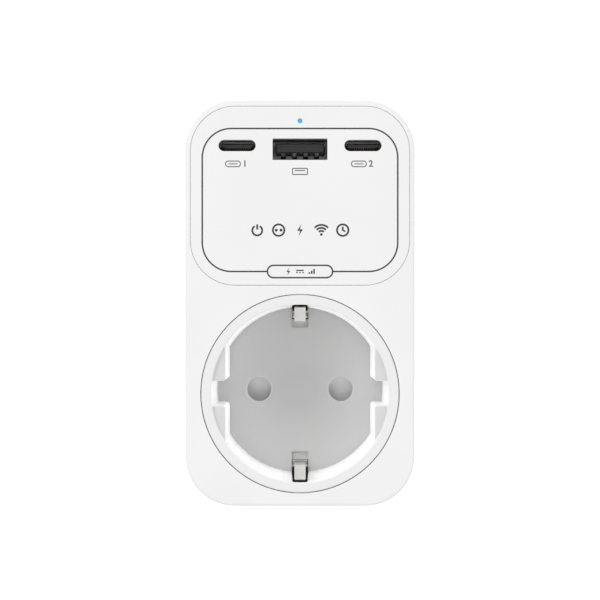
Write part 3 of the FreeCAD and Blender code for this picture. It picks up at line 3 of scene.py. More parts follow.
import bpy
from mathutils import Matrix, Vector


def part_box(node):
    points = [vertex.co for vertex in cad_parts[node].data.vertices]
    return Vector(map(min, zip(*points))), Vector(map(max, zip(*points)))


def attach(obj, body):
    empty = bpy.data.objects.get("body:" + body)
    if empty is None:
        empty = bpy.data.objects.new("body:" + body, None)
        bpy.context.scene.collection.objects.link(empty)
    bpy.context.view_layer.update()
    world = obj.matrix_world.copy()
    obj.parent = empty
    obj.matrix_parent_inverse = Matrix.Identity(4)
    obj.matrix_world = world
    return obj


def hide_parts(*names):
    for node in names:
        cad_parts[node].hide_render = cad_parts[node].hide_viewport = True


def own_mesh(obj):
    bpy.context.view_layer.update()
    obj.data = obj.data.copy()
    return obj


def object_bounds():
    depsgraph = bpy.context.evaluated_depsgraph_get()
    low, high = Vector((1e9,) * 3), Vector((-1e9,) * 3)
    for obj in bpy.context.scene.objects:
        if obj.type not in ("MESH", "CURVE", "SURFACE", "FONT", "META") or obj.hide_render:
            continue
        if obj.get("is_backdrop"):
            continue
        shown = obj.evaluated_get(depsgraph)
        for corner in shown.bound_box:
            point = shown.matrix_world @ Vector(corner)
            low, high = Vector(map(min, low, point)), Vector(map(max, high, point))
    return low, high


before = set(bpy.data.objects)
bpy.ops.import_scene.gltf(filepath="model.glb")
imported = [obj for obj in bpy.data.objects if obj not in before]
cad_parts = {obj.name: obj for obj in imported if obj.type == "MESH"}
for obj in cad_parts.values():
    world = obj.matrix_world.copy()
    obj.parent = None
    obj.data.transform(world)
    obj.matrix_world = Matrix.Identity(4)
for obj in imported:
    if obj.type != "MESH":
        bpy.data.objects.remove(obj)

cad_low, cad_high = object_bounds()

# A smart plug seen from the front. Lengths are metres; MM turns millimetres into them.
MM = 0.001
TO_FRONT = math.radians(90)       # lays a flat shape drawn in XY up against the front face
TO_WALL = math.radians(180)       # turns it round to be read from the wall's side
INK_T = 0.02 * MM                 # how proud a printed line stands


# ---- Places read from the frame ----------------------------------------------------------------------
front_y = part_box("front_housing")[0].y
housing_low, housing_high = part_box("front_housing")
fascia_low, fascia_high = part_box("fascia_panel")
fascia_y = fascia_low.y
wide_low, wide_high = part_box("wide_port_shell")
left_low, left_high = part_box("oval_port_left_shell")
right_low, right_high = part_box("oval_port_right_shell")
button_low, button_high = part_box("power_button")
spring_low, spring_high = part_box("shutter_spring")
middle_z = (housing_low.z + housing_high.z) / 2


def between(low, high):
    return (low + high) / 2


# ---- Working by hand ---------------------------------------------------------------------------------
def clear():
    if bpy.context.object and bpy.context.object.mode != "OBJECT":
        bpy.ops.object.mode_set(mode="OBJECT")
    bpy.ops.object.select_all(action="DESELECT")


def hold(thing):
    """Makes one object the only selected and active one."""
    clear()
    thing.select_set(True)
    bpy.context.view_layer.objects.active = thing
    return thing


def settle(thing):
    """Puts the object at the origin, unturned and unscaled, with its place in its mesh."""
    hold(thing)
    bpy.ops.object.transform_apply(location=True, rotation=True, scale=True)
    return thing


def edit(thing, kind="FACE"):
    hold(thing)
    bpy.ops.object.mode_set(mode="EDIT")
    bpy.ops.mesh.select_mode(type=kind)


def pick(thing, test):
    """Selects the faces whose middle and normal pass the test. Called in edit mode, and stays in it."""
    bpy.ops.mesh.select_all(action="DESELECT")
    bpy.ops.object.mode_set(mode="OBJECT")
    for face in thing.data.polygons:
        face.select = test(face.center, face.normal)
    bpy.ops.object.mode_set(mode="EDIT")


def outwards(thing):
    edit(thing)
    bpy.ops.mesh.select_all(action="SELECT")
    bpy.ops.mesh.remove_doubles(threshold=0.001 * MM)
    bpy.ops.mesh.normals_make_consistent(inside=False)
    bpy.ops.object.mode_set(mode="OBJECT")


def apply_modifier(thing, kind, **settings):
    hold(thing)
    modifier = thing.modifiers.new(kind.lower(), kind)
    for name, value in settings.items():
        setattr(modifier, name, value)
    bpy.ops.object.modifier_apply(modifier=modifier.name)


def merge(name, things):
    clear()
    for thing in things:
        thing.select_set(True)
    bpy.context.view_layer.objects.active = things[0]
    if len(things) > 1:
        bpy.ops.object.join()
    made = bpy.context.view_layer.objects.active
    made.name = made.data.name = name
    return settle(made)


def copy_at(thing, shift):
    """A copy with its own mesh, moved by shift."""
    hold(thing)
    bpy.ops.object.duplicate(linked=False)
    made = bpy.context.object
    made.location = Vector(made.location) + Vector(shift)
    return settle(made)


def finished(thing, material, body="body"):
    thing.data.materials.clear()
    thing.data.materials.append(material)
    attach(thing, body)
    return thing


# ---- Materials ---------------------------------------------------------------------------------------
def colour(code):
    """An sRGB hex value as linear red, green, blue and alpha."""
    parts = [int(code[i:i + 2], 16) / 255 for i in (1, 3, 5)]
    return [p / 12.92 if p <= 0.04045 else ((p + 0.055) / 1.055) ** 2.4 for p in parts] + [1.0]


def per_metre(size_mm):
    """Texture scale whose features are size_mm across."""
    return 1000 / size_mm


def add(tree, kind, settings=None, links=None):
    """Adds a node. settings: its properties and the values of its inputs; links: what feeds an input."""
    node = tree.nodes.new(kind)
    for name, value in (settings or {}).items():
        if isinstance(name, int) or name in node.inputs:
            node.inputs[name].default_value = value
        else:
            setattr(node, name, value)
    for name, source in (links or {}).items():
        tree.links.new(source, node.inputs[name])
    return node


def new_material(name, settings):
    material = bpy.data.materials.new(name)
    material.use_nodes = True
    tree = material.node_tree
    tree.nodes.clear()
    shader = add(tree, "ShaderNodeBsdfPrincipled", settings)
    add(tree, "ShaderNodeOutputMaterial", {}, {"Surface": shader.outputs["BSDF"]})
    place = add(tree, "ShaderNodeTexCoord")
    return material, tree, shader, place.outputs["Object"]


def tinted(tree, factor, codes, stops=(0.35, 0.65)):
    """A ramp through colours, driven by a pattern."""
    ramp = add(tree, "ShaderNodeValToRGB", {}, {"Fac": factor})
    elements = ramp.color_ramp.elements
    while len(elements) < len(codes):
        elements.new(1.0)
    for element, stop, code in zip(elements, stops, codes):
        element.position = stop
        element.color = colour(code)
    return ramp.outputs["Color"]


def ranged(tree, factor, low, high):
    """A pattern's middle band as a value between low and high."""
    limits = {"From Min": 0.3, "From Max": 0.7, "To Min": low, "To Max": high}
    return add(tree, "ShaderNodeMapRange", limits, {"Value": factor}).outputs["Result"]


def moulded_plastic(name, codes, rough, grain, depth, ior=1.53, drift=18.0):
    """Moulded plastic: spark-eroded grain in the surface and a faint drift of shade across the part."""
    material, tree, shader, place = new_material(name, {"IOR": ior})
    cloud = add(tree, "ShaderNodeTexNoise", {"Scale": per_metre(drift), "Detail": 3.0}, {"Vector": place})
    eroded = add(tree, "ShaderNodeTexNoise", {"Scale": per_metre(grain), "Detail": 4.0}, {"Vector": place})
    speck = add(tree, "ShaderNodeTexVoronoi", {"Scale": per_metre(grain * 1.4)}, {"Vector": place})
    height = add(
        tree, "ShaderNodeMath", {"operation": "MULTIPLY"},
        {0: eroded.outputs["Fac"], 1: speck.outputs["Distance"]},
    )
    bump = add(
        tree, "ShaderNodeBump", {"Strength": 0.6, "Distance": depth * MM}, {"Height": height.outputs["Value"]}
    )
    tree.links.new(tinted(tree, cloud.outputs["Fac"], codes), shader.inputs["Base Color"])
    tree.links.new(ranged(tree, eroded.outputs["Fac"], rough[0], rough[1]), shader.inputs["Roughness"])
    tree.links.new(bump.outputs["Normal"], shader.inputs["Normal"])
    return material


def drawn_metal(name, codes, rough, along, line=0.12, depth=0.002, stretch=40.0, **more):
    """Drawn, rolled or plated metal: fine lines the way it was drawn, and patches dulled by handling."""
    material, tree, shader, place = new_material(name, {"Metallic": 1.0, **more})
    squeeze = [1.0, 1.0, 1.0]
    squeeze["XYZ".index(along)] = 1 / stretch
    turned = add(tree, "ShaderNodeMapping", {"Scale": squeeze}, {"Vector": place})
    lines = add(
        tree, "ShaderNodeTexNoise", {"Scale": per_metre(line), "Detail": 5.0},
        {"Vector": turned.outputs["Vector"]},
    )
    patches = add(tree, "ShaderNodeTexNoise", {"Scale": per_metre(3.0), "Detail": 3.0}, {"Vector": place})
    both = add(
        tree, "ShaderNodeMix", {"data_type": "FLOAT", "Factor": 0.45},
        {2: patches.outputs["Fac"], 3: lines.outputs["Fac"]},
    )
    bump = add(
        tree, "ShaderNodeBump", {"Strength": 0.5, "Distance": depth * MM}, {"Height": lines.outputs["Fac"]}
    )
    tree.links.new(tinted(tree, patches.outputs["Fac"], codes), shader.inputs["Base Color"])
    tree.links.new(ranged(tree, both.outputs[0], rough[0], rough[1]), shader.inputs["Roughness"])
    tree.links.new(bump.outputs["Normal"], shader.inputs["Normal"])
    return material


PAINTED_SHADE_DEPTH = 18 * MM      # behind the front face, where the insert's painted shade is deepest
PAINTED_SHADE_MIDDLE_R = 4 * MM         # middle of the cup's floor, where the painted shade is darkest
CUP_FLOOR_R = 19 * MM


def socket_plastic_painted_shade():
    """Moulded polyamide of the socket insert: polished white walls, and flats painted greyer the deeper they
    lie, as painted shade.
    """
    material, tree, shader, place = new_material("polyamide_socket_painted_shade", {"IOR": 1.53})
    cloud = add(tree, "ShaderNodeTexNoise", {"Scale": per_metre(14.0), "Detail": 3.0}, {"Vector": place})
    eroded = add(tree, "ShaderNodeTexNoise", {"Scale": per_metre(0.5), "Detail": 4.0}, {"Vector": place})
    spot = add(tree, "ShaderNodeSeparateXYZ", {}, {"Vector": place})
    facing = add(
        tree, "ShaderNodeSeparateXYZ", {}, {"Vector": add(tree, "ShaderNodeNewGeometry").outputs["Normal"]}
    )
    # 1 on what faces the front and chamfers with it, which take the painted shade, and 0 on the walls, which
    # stay plain white
    flat = add(
        tree, "ShaderNodeMapRange", {"From Min": -0.45, "From Max": -0.78}, {"Value": facing.outputs["Y"]}
    )
    deep = add(
        tree, "ShaderNodeMapRange", {"From Min": front_y, "From Max": front_y + PAINTED_SHADE_DEPTH},
        {"Value": spot.outputs["Y"]},
    )
    across = add(tree, "ShaderNodeMapping", {"Scale": (1, 0, 1)}, {"Vector": place})
    out = add(tree, "ShaderNodeVectorMath", {"operation": "LENGTH"}, {0: across.outputs["Vector"]})
    wide = add(
        tree, "ShaderNodeMapRange", {"From Min": PAINTED_SHADE_MIDDLE_R, "From Max": CUP_FLOOR_R},
        {"Value": out.outputs["Value"]},
    )
    # painted shade: the floor is painted greyest in the middle
    low = tinted(tree, wide.outputs["Result"], ("#B0B0B0", "#C7C7C7"), (0.0, 1.0))
    # painted shade: the ring face, rib tops and flats just behind the front face are painted a little greyer
    # the deeper they lie
    high = tinted(tree, deep.outputs["Result"], ("#EDEDED", "#DADADA"), (0.01, 0.06))
    # deeper in, this painted shade gives way to the darker painted shade of the floor
    reach = add(
        tree, "ShaderNodeMapRange", {"From Min": 0.6, "From Max": 0.95}, {"Value": deep.outputs["Result"]}
    )
    grey = add(tree, "ShaderNodeMix", {"data_type": "RGBA"}, {0: reach.outputs["Result"], 6: high, 7: low})
    white = tinted(tree, cloud.outputs["Fac"], ("#F6F6F6", "#F8F8F8"))
    base = add(
        tree, "ShaderNodeMix", {"data_type": "RGBA"}, {0: flat.outputs["Result"], 6: white, 7: grey.outputs[2]}
    )
    bump = add(
        tree, "ShaderNodeBump", {"Strength": 0.5, "Distance": 0.004 * MM}, {"Height": eroded.outputs["Fac"]}
    )
    tree.links.new(base.outputs[2], shader.inputs["Base Color"])
    tree.links.new(ranged(tree, eroded.outputs["Fac"], 0.40, 0.50), shader.inputs["Roughness"])
    tree.links.new(bump.outputs["Normal"], shader.inputs["Normal"])
    return material


def lit_acrylic():
    """Acrylic light guide with the blue lamp on behind it: a clear skin over a glowing core."""
    material, tree, shader, place = new_material(
        "acrylic_light_guide",
        {"IOR": 1.49, "Roughness": 0.12, "Emission Strength": 0.8, "Coat Weight": 0.2},
    )
    haze = add(tree, "ShaderNodeTexNoise", {"Scale": per_metre(0.4), "Detail": 2.0}, {"Vector": place})
    tree.links.new(tinted(tree, haze.outputs["Fac"], ("#4AB2EA", "#5ABBEE")), shader.inputs["Emission Color"])
    tree.links.new(tinted(tree, haze.outputs["Fac"], ("#0C2A38", "#10303E")), shader.inputs["Base Color"])
    return material


def board_laminate():
    """Glass-epoxy board: green mask, woven glass showing faintly through it, and a slight gloss."""
    material, tree, shader, place = new_material("glass_epoxy_board", {"IOR": 1.55, "Coat Weight": 0.3})
    weave = add(
        tree, "ShaderNodeTexWave", {"Scale": per_metre(1.2), "Distortion": 0.6, "Detail": 1.0},
        {"Vector": place},
    )
    weft = add(
        tree, "ShaderNodeTexWave", {"Scale": per_metre(1.2), "bands_direction": "Z", "Distortion": 0.6},
        {"Vector": place},
    )
    cloth = add(
        tree, "ShaderNodeMath", {"operation": "MULTIPLY"}, {0: weave.outputs["Fac"], 1: weft.outputs["Fac"]}
    )
    bump = add(
        tree, "ShaderNodeBump", {"Strength": 0.4, "Distance": 0.006 * MM}, {"Height": cloth.outputs["Value"]}
    )
    tree.links.new(
        tinted(tree, cloth.outputs["Value"], ("#12402A", "#1B5A3A"), (0.1, 0.9)), shader.inputs["Base Color"]
    )
    tree.links.new(ranged(tree, cloth.outputs["Value"], 0.30, 0.38), shader.inputs["Roughness"])
    tree.links.new(bump.outputs["Normal"], shader.inputs["Normal"])
    return material


def wound(name, codes, pitch, rough, metallic=0.0):
    """Wire or tape laid in turns side by side: one ridge for each turn."""
    material, tree, shader, place = new_material(name, {"IOR": 1.55, "Metallic": metallic})
    turns = add(
        tree, "ShaderNodeTexWave", {"Scale": per_metre(pitch) / 6.3, "bands_direction": "Z", "Distortion": 0.3},
        {"Vector": place},
    )
    cloud = add(tree, "ShaderNodeTexNoise", {"Scale": per_metre(2.5), "Detail": 3.0}, {"Vector": place})
    bump = add(
        tree, "ShaderNodeBump", {"Strength": 0.7, "Distance": pitch * 0.3 * MM},
        {"Height": turns.outputs["Fac"]},
    )
    tree.links.new(tinted(tree, cloud.outputs["Fac"], codes), shader.inputs["Base Color"])
    tree.links.new(ranged(tree, turns.outputs["Fac"], rough[0], rough[1]), shader.inputs["Roughness"])
    tree.links.new(bump.outputs["Normal"], shader.inputs["Normal"])
    return material


def pad_print(name, codes):
    """Pad-printed ink: flat and slightly uneven in density."""
    material, tree, shader, place = new_material(name, {"IOR": 1.48, "Roughness": 0.55})
    uneven = add(tree, "ShaderNodeTexNoise", {"Scale": per_metre(0.6), "Detail": 3.0}, {"Vector": place})
    tree.links.new(tinted(tree, uneven.outputs["Fac"], codes), shader.inputs["Base Color"])
    return material


# Moulded grain is drawn at 0.4 to 0.9 mm, coarser than it really is, because finer wouldn't show.
MATERIALS = {
    # matt white housing: fine even grain that spreads every highlight
    "white_abs": moulded_plastic("abs_spark_eroded", ("#F0F0F0", "#F3F3F3"), (0.42, 0.52), 0.5, 0.006),
    # fascia: the same white with a smoother, silkier skin
    "white_fascia": moulded_plastic("abs_satin", ("#F0F0F0", "#F2F2F2"), (0.34, 0.42), 0.5, 0.003),
    # socket insert: white polished walls, and flats painted greyer with depth as painted shade
    "white_insert": socket_plastic_painted_shade(),
    # shutter: unfilled polyamide, waxy and a little greyer than the cup
    "grey_nylon": moulded_plastic("polyamide_grey", ("#D6D6D6", "#DEDEDE"), (0.38, 0.48), 0.5, 0.004),
    # contact block and carriers: natural glass-filled polyamide, cream with a dull skin
    "cream_nylon": moulded_plastic(
        "polyamide_natural", ("#E6DFC8", "#DDD4B8"), (0.45, 0.60), 0.6, 0.010, drift=5.0
    ),
    # port tongues and retainers: black glass-filled polyamide
    "black_nylon": moulded_plastic(
        "polyamide_black", ("#1A1A1B", "#212122"), (0.40, 0.55), 0.5, 0.006, drift=3.0
    ),
    # pins and earth clips: bright nickel over brass, a soft white sheen
    "nickel_brass": drawn_metal("nickel_plated_brass", ("#E4E3E0", "#EEEDEB"), (0.16, 0.28), "Y"),
    # port shells: steel with a dull oxidised skin, which scatters more than it mirrors
    "dark_steel": drawn_metal("oxidised_steel", ("#B8B8BA", "#C4C4C6"), (0.45, 0.58), "Y", Metallic=0.35),
    # contacts: rolled spring brass with its mill lines
    "contact_brass": drawn_metal("rolled_brass", ("#D9B465", "#E3C27C"), (0.24, 0.38), "Y"),
    # shutter spring: drawn music wire, grey with a tight line along it
    "spring_steel": drawn_metal("music_wire", ("#AFAFB1", "#BDBDBF"), (0.25, 0.36), "Z", line=0.06),
    # screws: bright zinc over steel with a bluish passivate
    "zinc_steel": drawn_metal("zinc_plated_steel", ("#B9BDC4", "#CBCDD0"), (0.28, 0.44), "Y", stretch=2.0),
    # light dot: clear acrylic, glowing an even sky blue from the lamp behind
    "clear_acrylic": lit_acrylic(),
    # lamp body: diffused blue epoxy
    "led_epoxy": moulded_plastic(
        "epoxy_diffused_blue", ("#9CCBE6", "#B4DAF0"), (0.10, 0.16), 0.4, 0.001, ior=1.55, drift=2.0
    ),
    # boards: green solder mask with the glass cloth just showing
    "circuit_board": board_laminate(),
    # relay: deep blue polyester case with a soft sheen
    "relay_case": moulded_plastic(
        "pbt_relay_blue", ("#2A4E92", "#2F579F"), (0.30, 0.40), 0.5, 0.004, drift=6.0
    ),
    # pressed and fired ceramic: near black, dull and slightly pitted
    "ferrite": moulded_plastic("ferrite_fired", ("#3A3A3D", "#48484A"), (0.60, 0.75), 0.4, 0.020, drift=2.0),
    # transformer: yellow tape laid in turns, slightly glossy
    "winding_tape": wound("polyester_tape_yellow", ("#E6C23A", "#DDB42E"), 1.1, (0.30, 0.42)),
    # aluminium can in a printed shrink sleeve
    "capacitor_can": moulded_plastic(
        "shrink_sleeve", ("#2B3038", "#353B45"), (0.22, 0.30), 0.8, 0.003, drift=4.0
    ),
    # suppression capacitor: ochre yellow box with fine grain
    "capacitor_box": moulded_plastic(
        "pbt_box_yellow", ("#D9B83A", "#E0C24A"), (0.34, 0.46), 0.5, 0.005, drift=4.0
    ),
    # choke: copper wire under enamel, a warm ridge for each turn
    "enamelled_copper": wound(
        "enamelled_copper_wire", ("#B4622C", "#C9793C"), 0.7, (0.20, 0.32), metallic=1.0
    ),
    # fuse: brown phenolic, dull and a little coarse
    "fuse_case": moulded_plastic(
        "phenolic_brown", ("#5A3722", "#6A4430"), (0.42, 0.55), 0.5, 0.008, drift=3.0
    ),
    # varistor: dipped epoxy, thick and orange-peeled
    "varistor_epoxy": moulded_plastic(
        "epoxy_dipped_blue", ("#2B5FA8", "#3269B2"), (0.26, 0.36), 0.9, 0.030, drift=3.0
    ),
    # rectifier: black transfer-moulded epoxy, quite matt
    "chip_epoxy": moulded_plastic(
        "epoxy_chip_black", ("#2A2A2A", "#313131"), (0.55, 0.68), 0.4, 0.008, drift=1.5
    ),
    # shield and header pins: tin plate, pale with soft rolled lines
    "tin_plate": drawn_metal("tin_plated_steel", ("#C9C9C8", "#D6D6D4"), (0.28, 0.42), "X"),
    # film and rating label: smooth pale polyester that catches a sharper highlight
    "polyester_film": moulded_plastic(
        "polyester_film", ("#E9EAEA", "#EFF0F0"), (0.18, 0.28), 0.8, 0.002, ior=1.64
    ),
    # leads: soft PVC sleeves, brown for live and blue for neutral, with a low sheen
    "brown_pvc": moulded_plastic(
        "pvc_sleeve_brown", ("#6B4130", "#764A37"), (0.36, 0.48), 0.5, 0.006, drift=4.0
    ),
    "blue_pvc": moulded_plastic(
        "pvc_sleeve_blue", ("#2B5CA6", "#3366B2"), (0.36, 0.48), 0.5, 0.006, drift=4.0
    ),
}
# inks: charcoal for lines and function marks, mid grey for port marks, both flat and a little uneven
DARK_INK = pad_print("pad_print_charcoal", ("#343435", "#3A3A3B"))
MID_INK = pad_print("pad_print_grey", ("#6A6A6B", "#747475"))

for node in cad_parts.values():
    for held in node.material_slots:
        held.material = MATERIALS[held.material.name.split(".")[0]]


# ---- Printing ----------------------------------------------------------------------------------------
# Marks are drawn flat in XY, in millimetres about their middle, then laid on the face they are printed on.
def inked(lines, stroke=None):
    """Lines of points as one flat mesh: strokes with a crowned top, or filled shapes if no stroke is given."""
    curve = bpy.data.curves.new("line", "CURVE")
    if stroke:
        curve.dimensions = "3D"
        curve.bevel_depth = stroke / 2 * MM
        curve.bevel_resolution = 2
        curve.use_fill_caps = True
    else:
        curve.dimensions = "2D"
        curve.fill_mode = "BOTH"
        curve.extrude = INK_T
    for points, closed in lines:
        spline = curve.splines.new("POLY")
        spline.points.add(len(points) - 1)
        for spot, (x, y) in zip(spline.points, points):
            spot.co = (x * MM, y * MM, 0, 1)
        spline.use_cyclic_u = closed
    made = bpy.data.objects.new("line", curve)
    bpy.context.collection.objects.link(made)
    hold(made)
    bpy.ops.object.convert(target="MESH")
    made = bpy.context.object
    if stroke:
        made.scale = (1, 1, 2 * INK_T / (stroke * MM))
    return settle(made)


def arc(radius, start=0.0, end=360.0, middle=(0, 0), steps=36):
    """Points on a circle between two angles in degrees, from the right and anticlockwise."""
    whole = end - start >= 360
    count = steps if whole else steps + 1
    turns = [math.radians(start + (end - start) * i / steps) for i in range(count)]
    return [(middle[0] + radius * math.cos(t), middle[1] + radius * math.sin(t)) for t in turns], whole


def rounded_box(width, height, radius, steps=10):
    """Points round a rectangle with rounded corners."""
    points = []
    for quarter, (sx, sy) in enumerate([(1, 1), (-1, 1), (-1, -1), (1, -1)]):
        middle = (sx * (width / 2 - radius), sy * (height / 2 - radius))
        points += arc(radius, quarter * 90, quarter * 90 + 90, middle, steps)[0]
    return points, True


def power_mark(size):
    r = size / 2
    return [arc(r * 0.86, 120, 420, (0, -r * 0.06)), ([(0, r), (0, r * 0.1)], False)]


def bolt_mark(size):
    r = size / 2
    points = [(0.22, 1), (-0.5, -0.12), (0.02, -0.12), (-0.22, -1), (0.5, 0.14), (-0.02, 0.14)]
    return [([(x * r, y * r) for x, y in points], True)]


def socket_mark(size):
    r = size / 2
    return [arc(r), arc(r * 0.1, middle=(-r * 0.42, 0), steps=12), arc(r * 0.1, middle=(r * 0.42, 0), steps=12)]


def radio_mark(size):
    r = size / 2
    low = (0, -r * 0.75)
    return [arc(r * 0.08, middle=low, steps=10)] + [arc(r * k, 45, 135, low, 14) for k in (0.62, 1.14, 1.66)]


def clock_mark(size):
    r = size / 2
    return [arc(r), ([(0, r * 0.62), (0, 0), (r * 0.45, -r * 0.22)], False)]


def direct_mark(size):
    """The symbol for direct current: a line over three dashes."""
    r = size / 2
    return [([(-r, r * 0.28), (r, r * 0.28)], False)] + [
        ([(r * (k - 0.2), -r * 0.28), (r * (k + 0.2), -r * 0.28)], False) for k in (-0.8, 0, 0.8)
    ]


def level_mark(size):
    """Three bars, each taller than the last."""
    r = size / 2
    return [([(r * x, -r * 0.7), (r * x, r * y)], False) for x, y in ((-0.7, -0.2), (0, 0.25), (0.7, 0.75))]


def wave_mark(size):
    """The symbol for alternating current."""
    r = size / 2
    points = [(r * (i / 12 - 1), r * 0.45 * math.sin(math.pi * i / 12)) for i in range(25)]
    return [(points, False)]


def earth_mark(size):
    r = size / 2
    bars = [([(-r * w, r * h), (r * w, r * h)], False) for w, h in ((0.8, 0.05), (0.5, -0.35), (0.2, -0.75))]
    return [([(0, r), (0, r * 0.05)], False)] + bars


def house_mark(size):
    r = size / 2
    walls = [(-0.62, 0.1), (-0.62, -0.85), (0.62, -0.85), (0.62, 0.1)]
    roof = [(-1, 0), (0, 0.95), (1, 0)]
    return [([(x * r, y * r) for x, y in walls], False), ([(x * r, y * r) for x, y in roof], False)]


def moved(lines, x, y=0.0):
    return [([(px + x, py + y) for px, py in points], closed) for points, closed in lines]


def numeral(text, size, bold):
    """A plain figure as a flat mesh, centred."""
    bpy.ops.object.text_add()
    made = bpy.context.object
    made.data.body = text
    made.data.size = size * MM
    made.data.offset = bold * MM
    made.data.extrude = INK_T / 2
    made.data.align_x = "CENTER"
    made.data.align_y = "CENTER"
    hold(made)
    bpy.ops.object.convert(target="MESH")
    return settle(bpy.context.object)


def lay(thing, x, y, z, to_wall=False):
    """Stands a flat mark up on the front, or on the wall side, with its middle at the given place."""
    thing.rotation_euler = (TO_FRONT, 0, TO_WALL if to_wall else 0)
    thing.location = (x, y, z)
    return settle(thing)


def rounded_plane(width, height, radius):
    """A plane with its corners bevelled round, left in edit mode with its faces selected."""
    clear()
    bpy.ops.mesh.primitive_plane_add(size=1)
    made = bpy.context.object
    made.scale = (width * MM, height * MM, 1)
    settle(made)
    edit(made, "VERT")
    bpy.ops.mesh.select_all(action="SELECT")
    bpy.ops.mesh.bevel(offset=radius * MM, segments=16, affect="VERTICES", clamp_overlap=False)
    bpy.ops.mesh.remove_doubles(threshold=0.001 * MM)
    bpy.ops.mesh.select_mode(type="FACE")
    bpy.ops.mesh.select_all(action="SELECT")
    return made


def cut_across(place, way):
    """Cuts the flat shape in edit mode along a line: place in millimetres, way (1, 0) or (0, 1)."""
    bpy.ops.mesh.select_all(action="SELECT")
    spot = (way[0] * place * MM, way[1] * place * MM, 0)
    bpy.ops.mesh.bisect(plane_co=spot, plane_no=(way[0], way[1], 0))


def drop(made, inside):
    """Removes the faces whose middle, in millimetres, is inside."""
    pick(made, lambda middle, normal: inside(middle.x / MM, middle.y / MM))
    bpy.ops.mesh.delete(type="FACE")


def thicken(made, name, height):
    """Extrudes the flat shape by a height in metres and names it."""
    bpy.ops.mesh.select_all(action="SELECT")
    bpy.ops.mesh.extrude_region_move(TRANSFORM_OT_translate={"value": (0, 0, height)})
    bpy.ops.object.mode_set(mode="OBJECT")
    made.name = made.data.name = name
    outwards(made)
    return made


def show_outline(name, width, height, radius, line, gap=None):
    """A printed line round a rounded rectangle, with an opening in its lower side if a gap is given."""
    made = rounded_plane(width, height, radius)
    bpy.ops.mesh.inset(thickness=line * MM, depth=0)
    bpy.ops.mesh.delete(type="FACE")
    if gap:
        for side in (-1, 1):
            cut_across(side * gap / 2, (1, 0))
        drop(made, lambda x, y: y < 0 and abs(x) < gap / 2)
    return thicken(made, name, INK_T)


FRAME_W = 43.77           # printed frame, over its line
FRAME_H = 32.11
FRAME_R = 6.6
LINE = 0.33
LOZENGE_W = 14.8
LOZENGE_H = 3.07
FRAME_TOP_GAP = 4.80      # below the fascia's top edge
LOZENGE_LAP = 0.1         # the frame's opening is narrower than the lozenge by this

frame_z = fascia_high.z - (FRAME_TOP_GAP + FRAME_H / 2) * MM
lozenge_z = frame_z - (FRAME_H - LINE) / 2 * MM

fascia_frame = show_outline(
    "fascia_frame_line", FRAME_W, FRAME_H, FRAME_R, LINE, gap=LOZENGE_W - LOZENGE_LAP
)
lay(fascia_frame, 0, fascia_y, frame_z)
finished(fascia_frame, DARK_INK)
lozenge = show_outline("fascia_lozenge_line", LOZENGE_W, LOZENGE_H, LOZENGE_H / 2 - 0.02, LINE)
lay(lozenge, 0, fascia_y, lozenge_z)
finished(lozenge, DARK_INK)

MARK = 2.55
MARK_PITCH = 4.75
MARK_STROKE = 0.42
MARK_DROP = 6.7           # below the middle of the frame
row = [power_mark, socket_mark, bolt_mark, radio_mark, clock_mark]
marks = []
for place, mark in enumerate(row):
    stroke = None if mark is bolt_mark else MARK_STROKE
    marks.append(inked(moved(mark(MARK), (place - 2) * MARK_PITCH), stroke))
function_marks = lay(merge("function_marks", marks), 0, fascia_y, frame_z - MARK_DROP * MM)
finished(function_marks, DARK_INK)

RATING_PITCH = 2.6
rating = [
    inked(moved(bolt_mark(1.7), -RATING_PITCH)),
    inked(direct_mark(1.7), 0.28),
    inked(moved(level_mark(1.5), RATING_PITCH), 0.36),
]
rating_marks = lay(merge("rating_marks", rating), 0, fascia_y, lozenge_z)
finished(rating_marks, DARK_INK)

PORT_MARK_DROP = 4.25     # port marks below the middle of the oval ports
WIDE_MARK_DROP = 4.95     # and of the wide port
PORT_MARK_W = 3.3
PORT_MARK_STROKE = 0.24
OUTLINE_LEFT = 0.9        # the outline and its figure, either side of the mark's middle
FIGURE_RIGHT = 1.75
for name, low, high, figure in (
    ("port_mark_left", left_low, left_high, "1"), ("port_mark_right", right_low, right_high, "2"),
):
    shape = inked([rounded_box(PORT_MARK_W, 1.25, 0.6), ([(-1.0, 0), (1.0, 0)], False)], PORT_MARK_STROKE)
    shape.location.x = -OUTLINE_LEFT * MM
    number = numeral(figure, 2.0, 0.05)
    number.location = (FIGURE_RIGHT * MM, 0, 0)
    middle = between(low, high)
    mark = lay(merge(name, [settle(shape), settle(number)]), middle.x, fascia_y, middle.z - PORT_MARK_DROP * MM)
    finished(mark, MID_INK)
wide_middle = between(wide_low, wide_high)
wide_shape = inked(
    [rounded_box(PORT_MARK_W, 1.35, 0.15, 3), ([(-1.15, 0.2), (1.15, 0.2)], False)], PORT_MARK_STROKE
)
wide_shape.name = "port_mark_middle"
finished(lay(wide_shape, 0, fascia_y, wide_middle.z - WIDE_MARK_DROP * MM), MID_INK)

# power symbol on the button, on the body's top
button_middle = between(button_low, button_high)
button_mark = inked(power_mark(2.4), 0.3)
button_mark.name = "button_mark"
button_mark.location = (0, button_middle.y, button_high.z)
finished(settle(button_mark), MID_INK, "button")


# ---- Contact pads in the oval ports ------------------------------------------------------------------
PADS = 12                 # above the tongue, and as many below
PAD_PITCH = 0.5
PAD_SIZE = (0.26, 4.2, 0.04)
PAD_MIDDLE = 2.5          # behind the tongue's tip
PAD_HEIGHT = 0.35         # above and below the tongue's middle
PAD_NOSE = 0.08           # how far each pad's tip reaches forwards


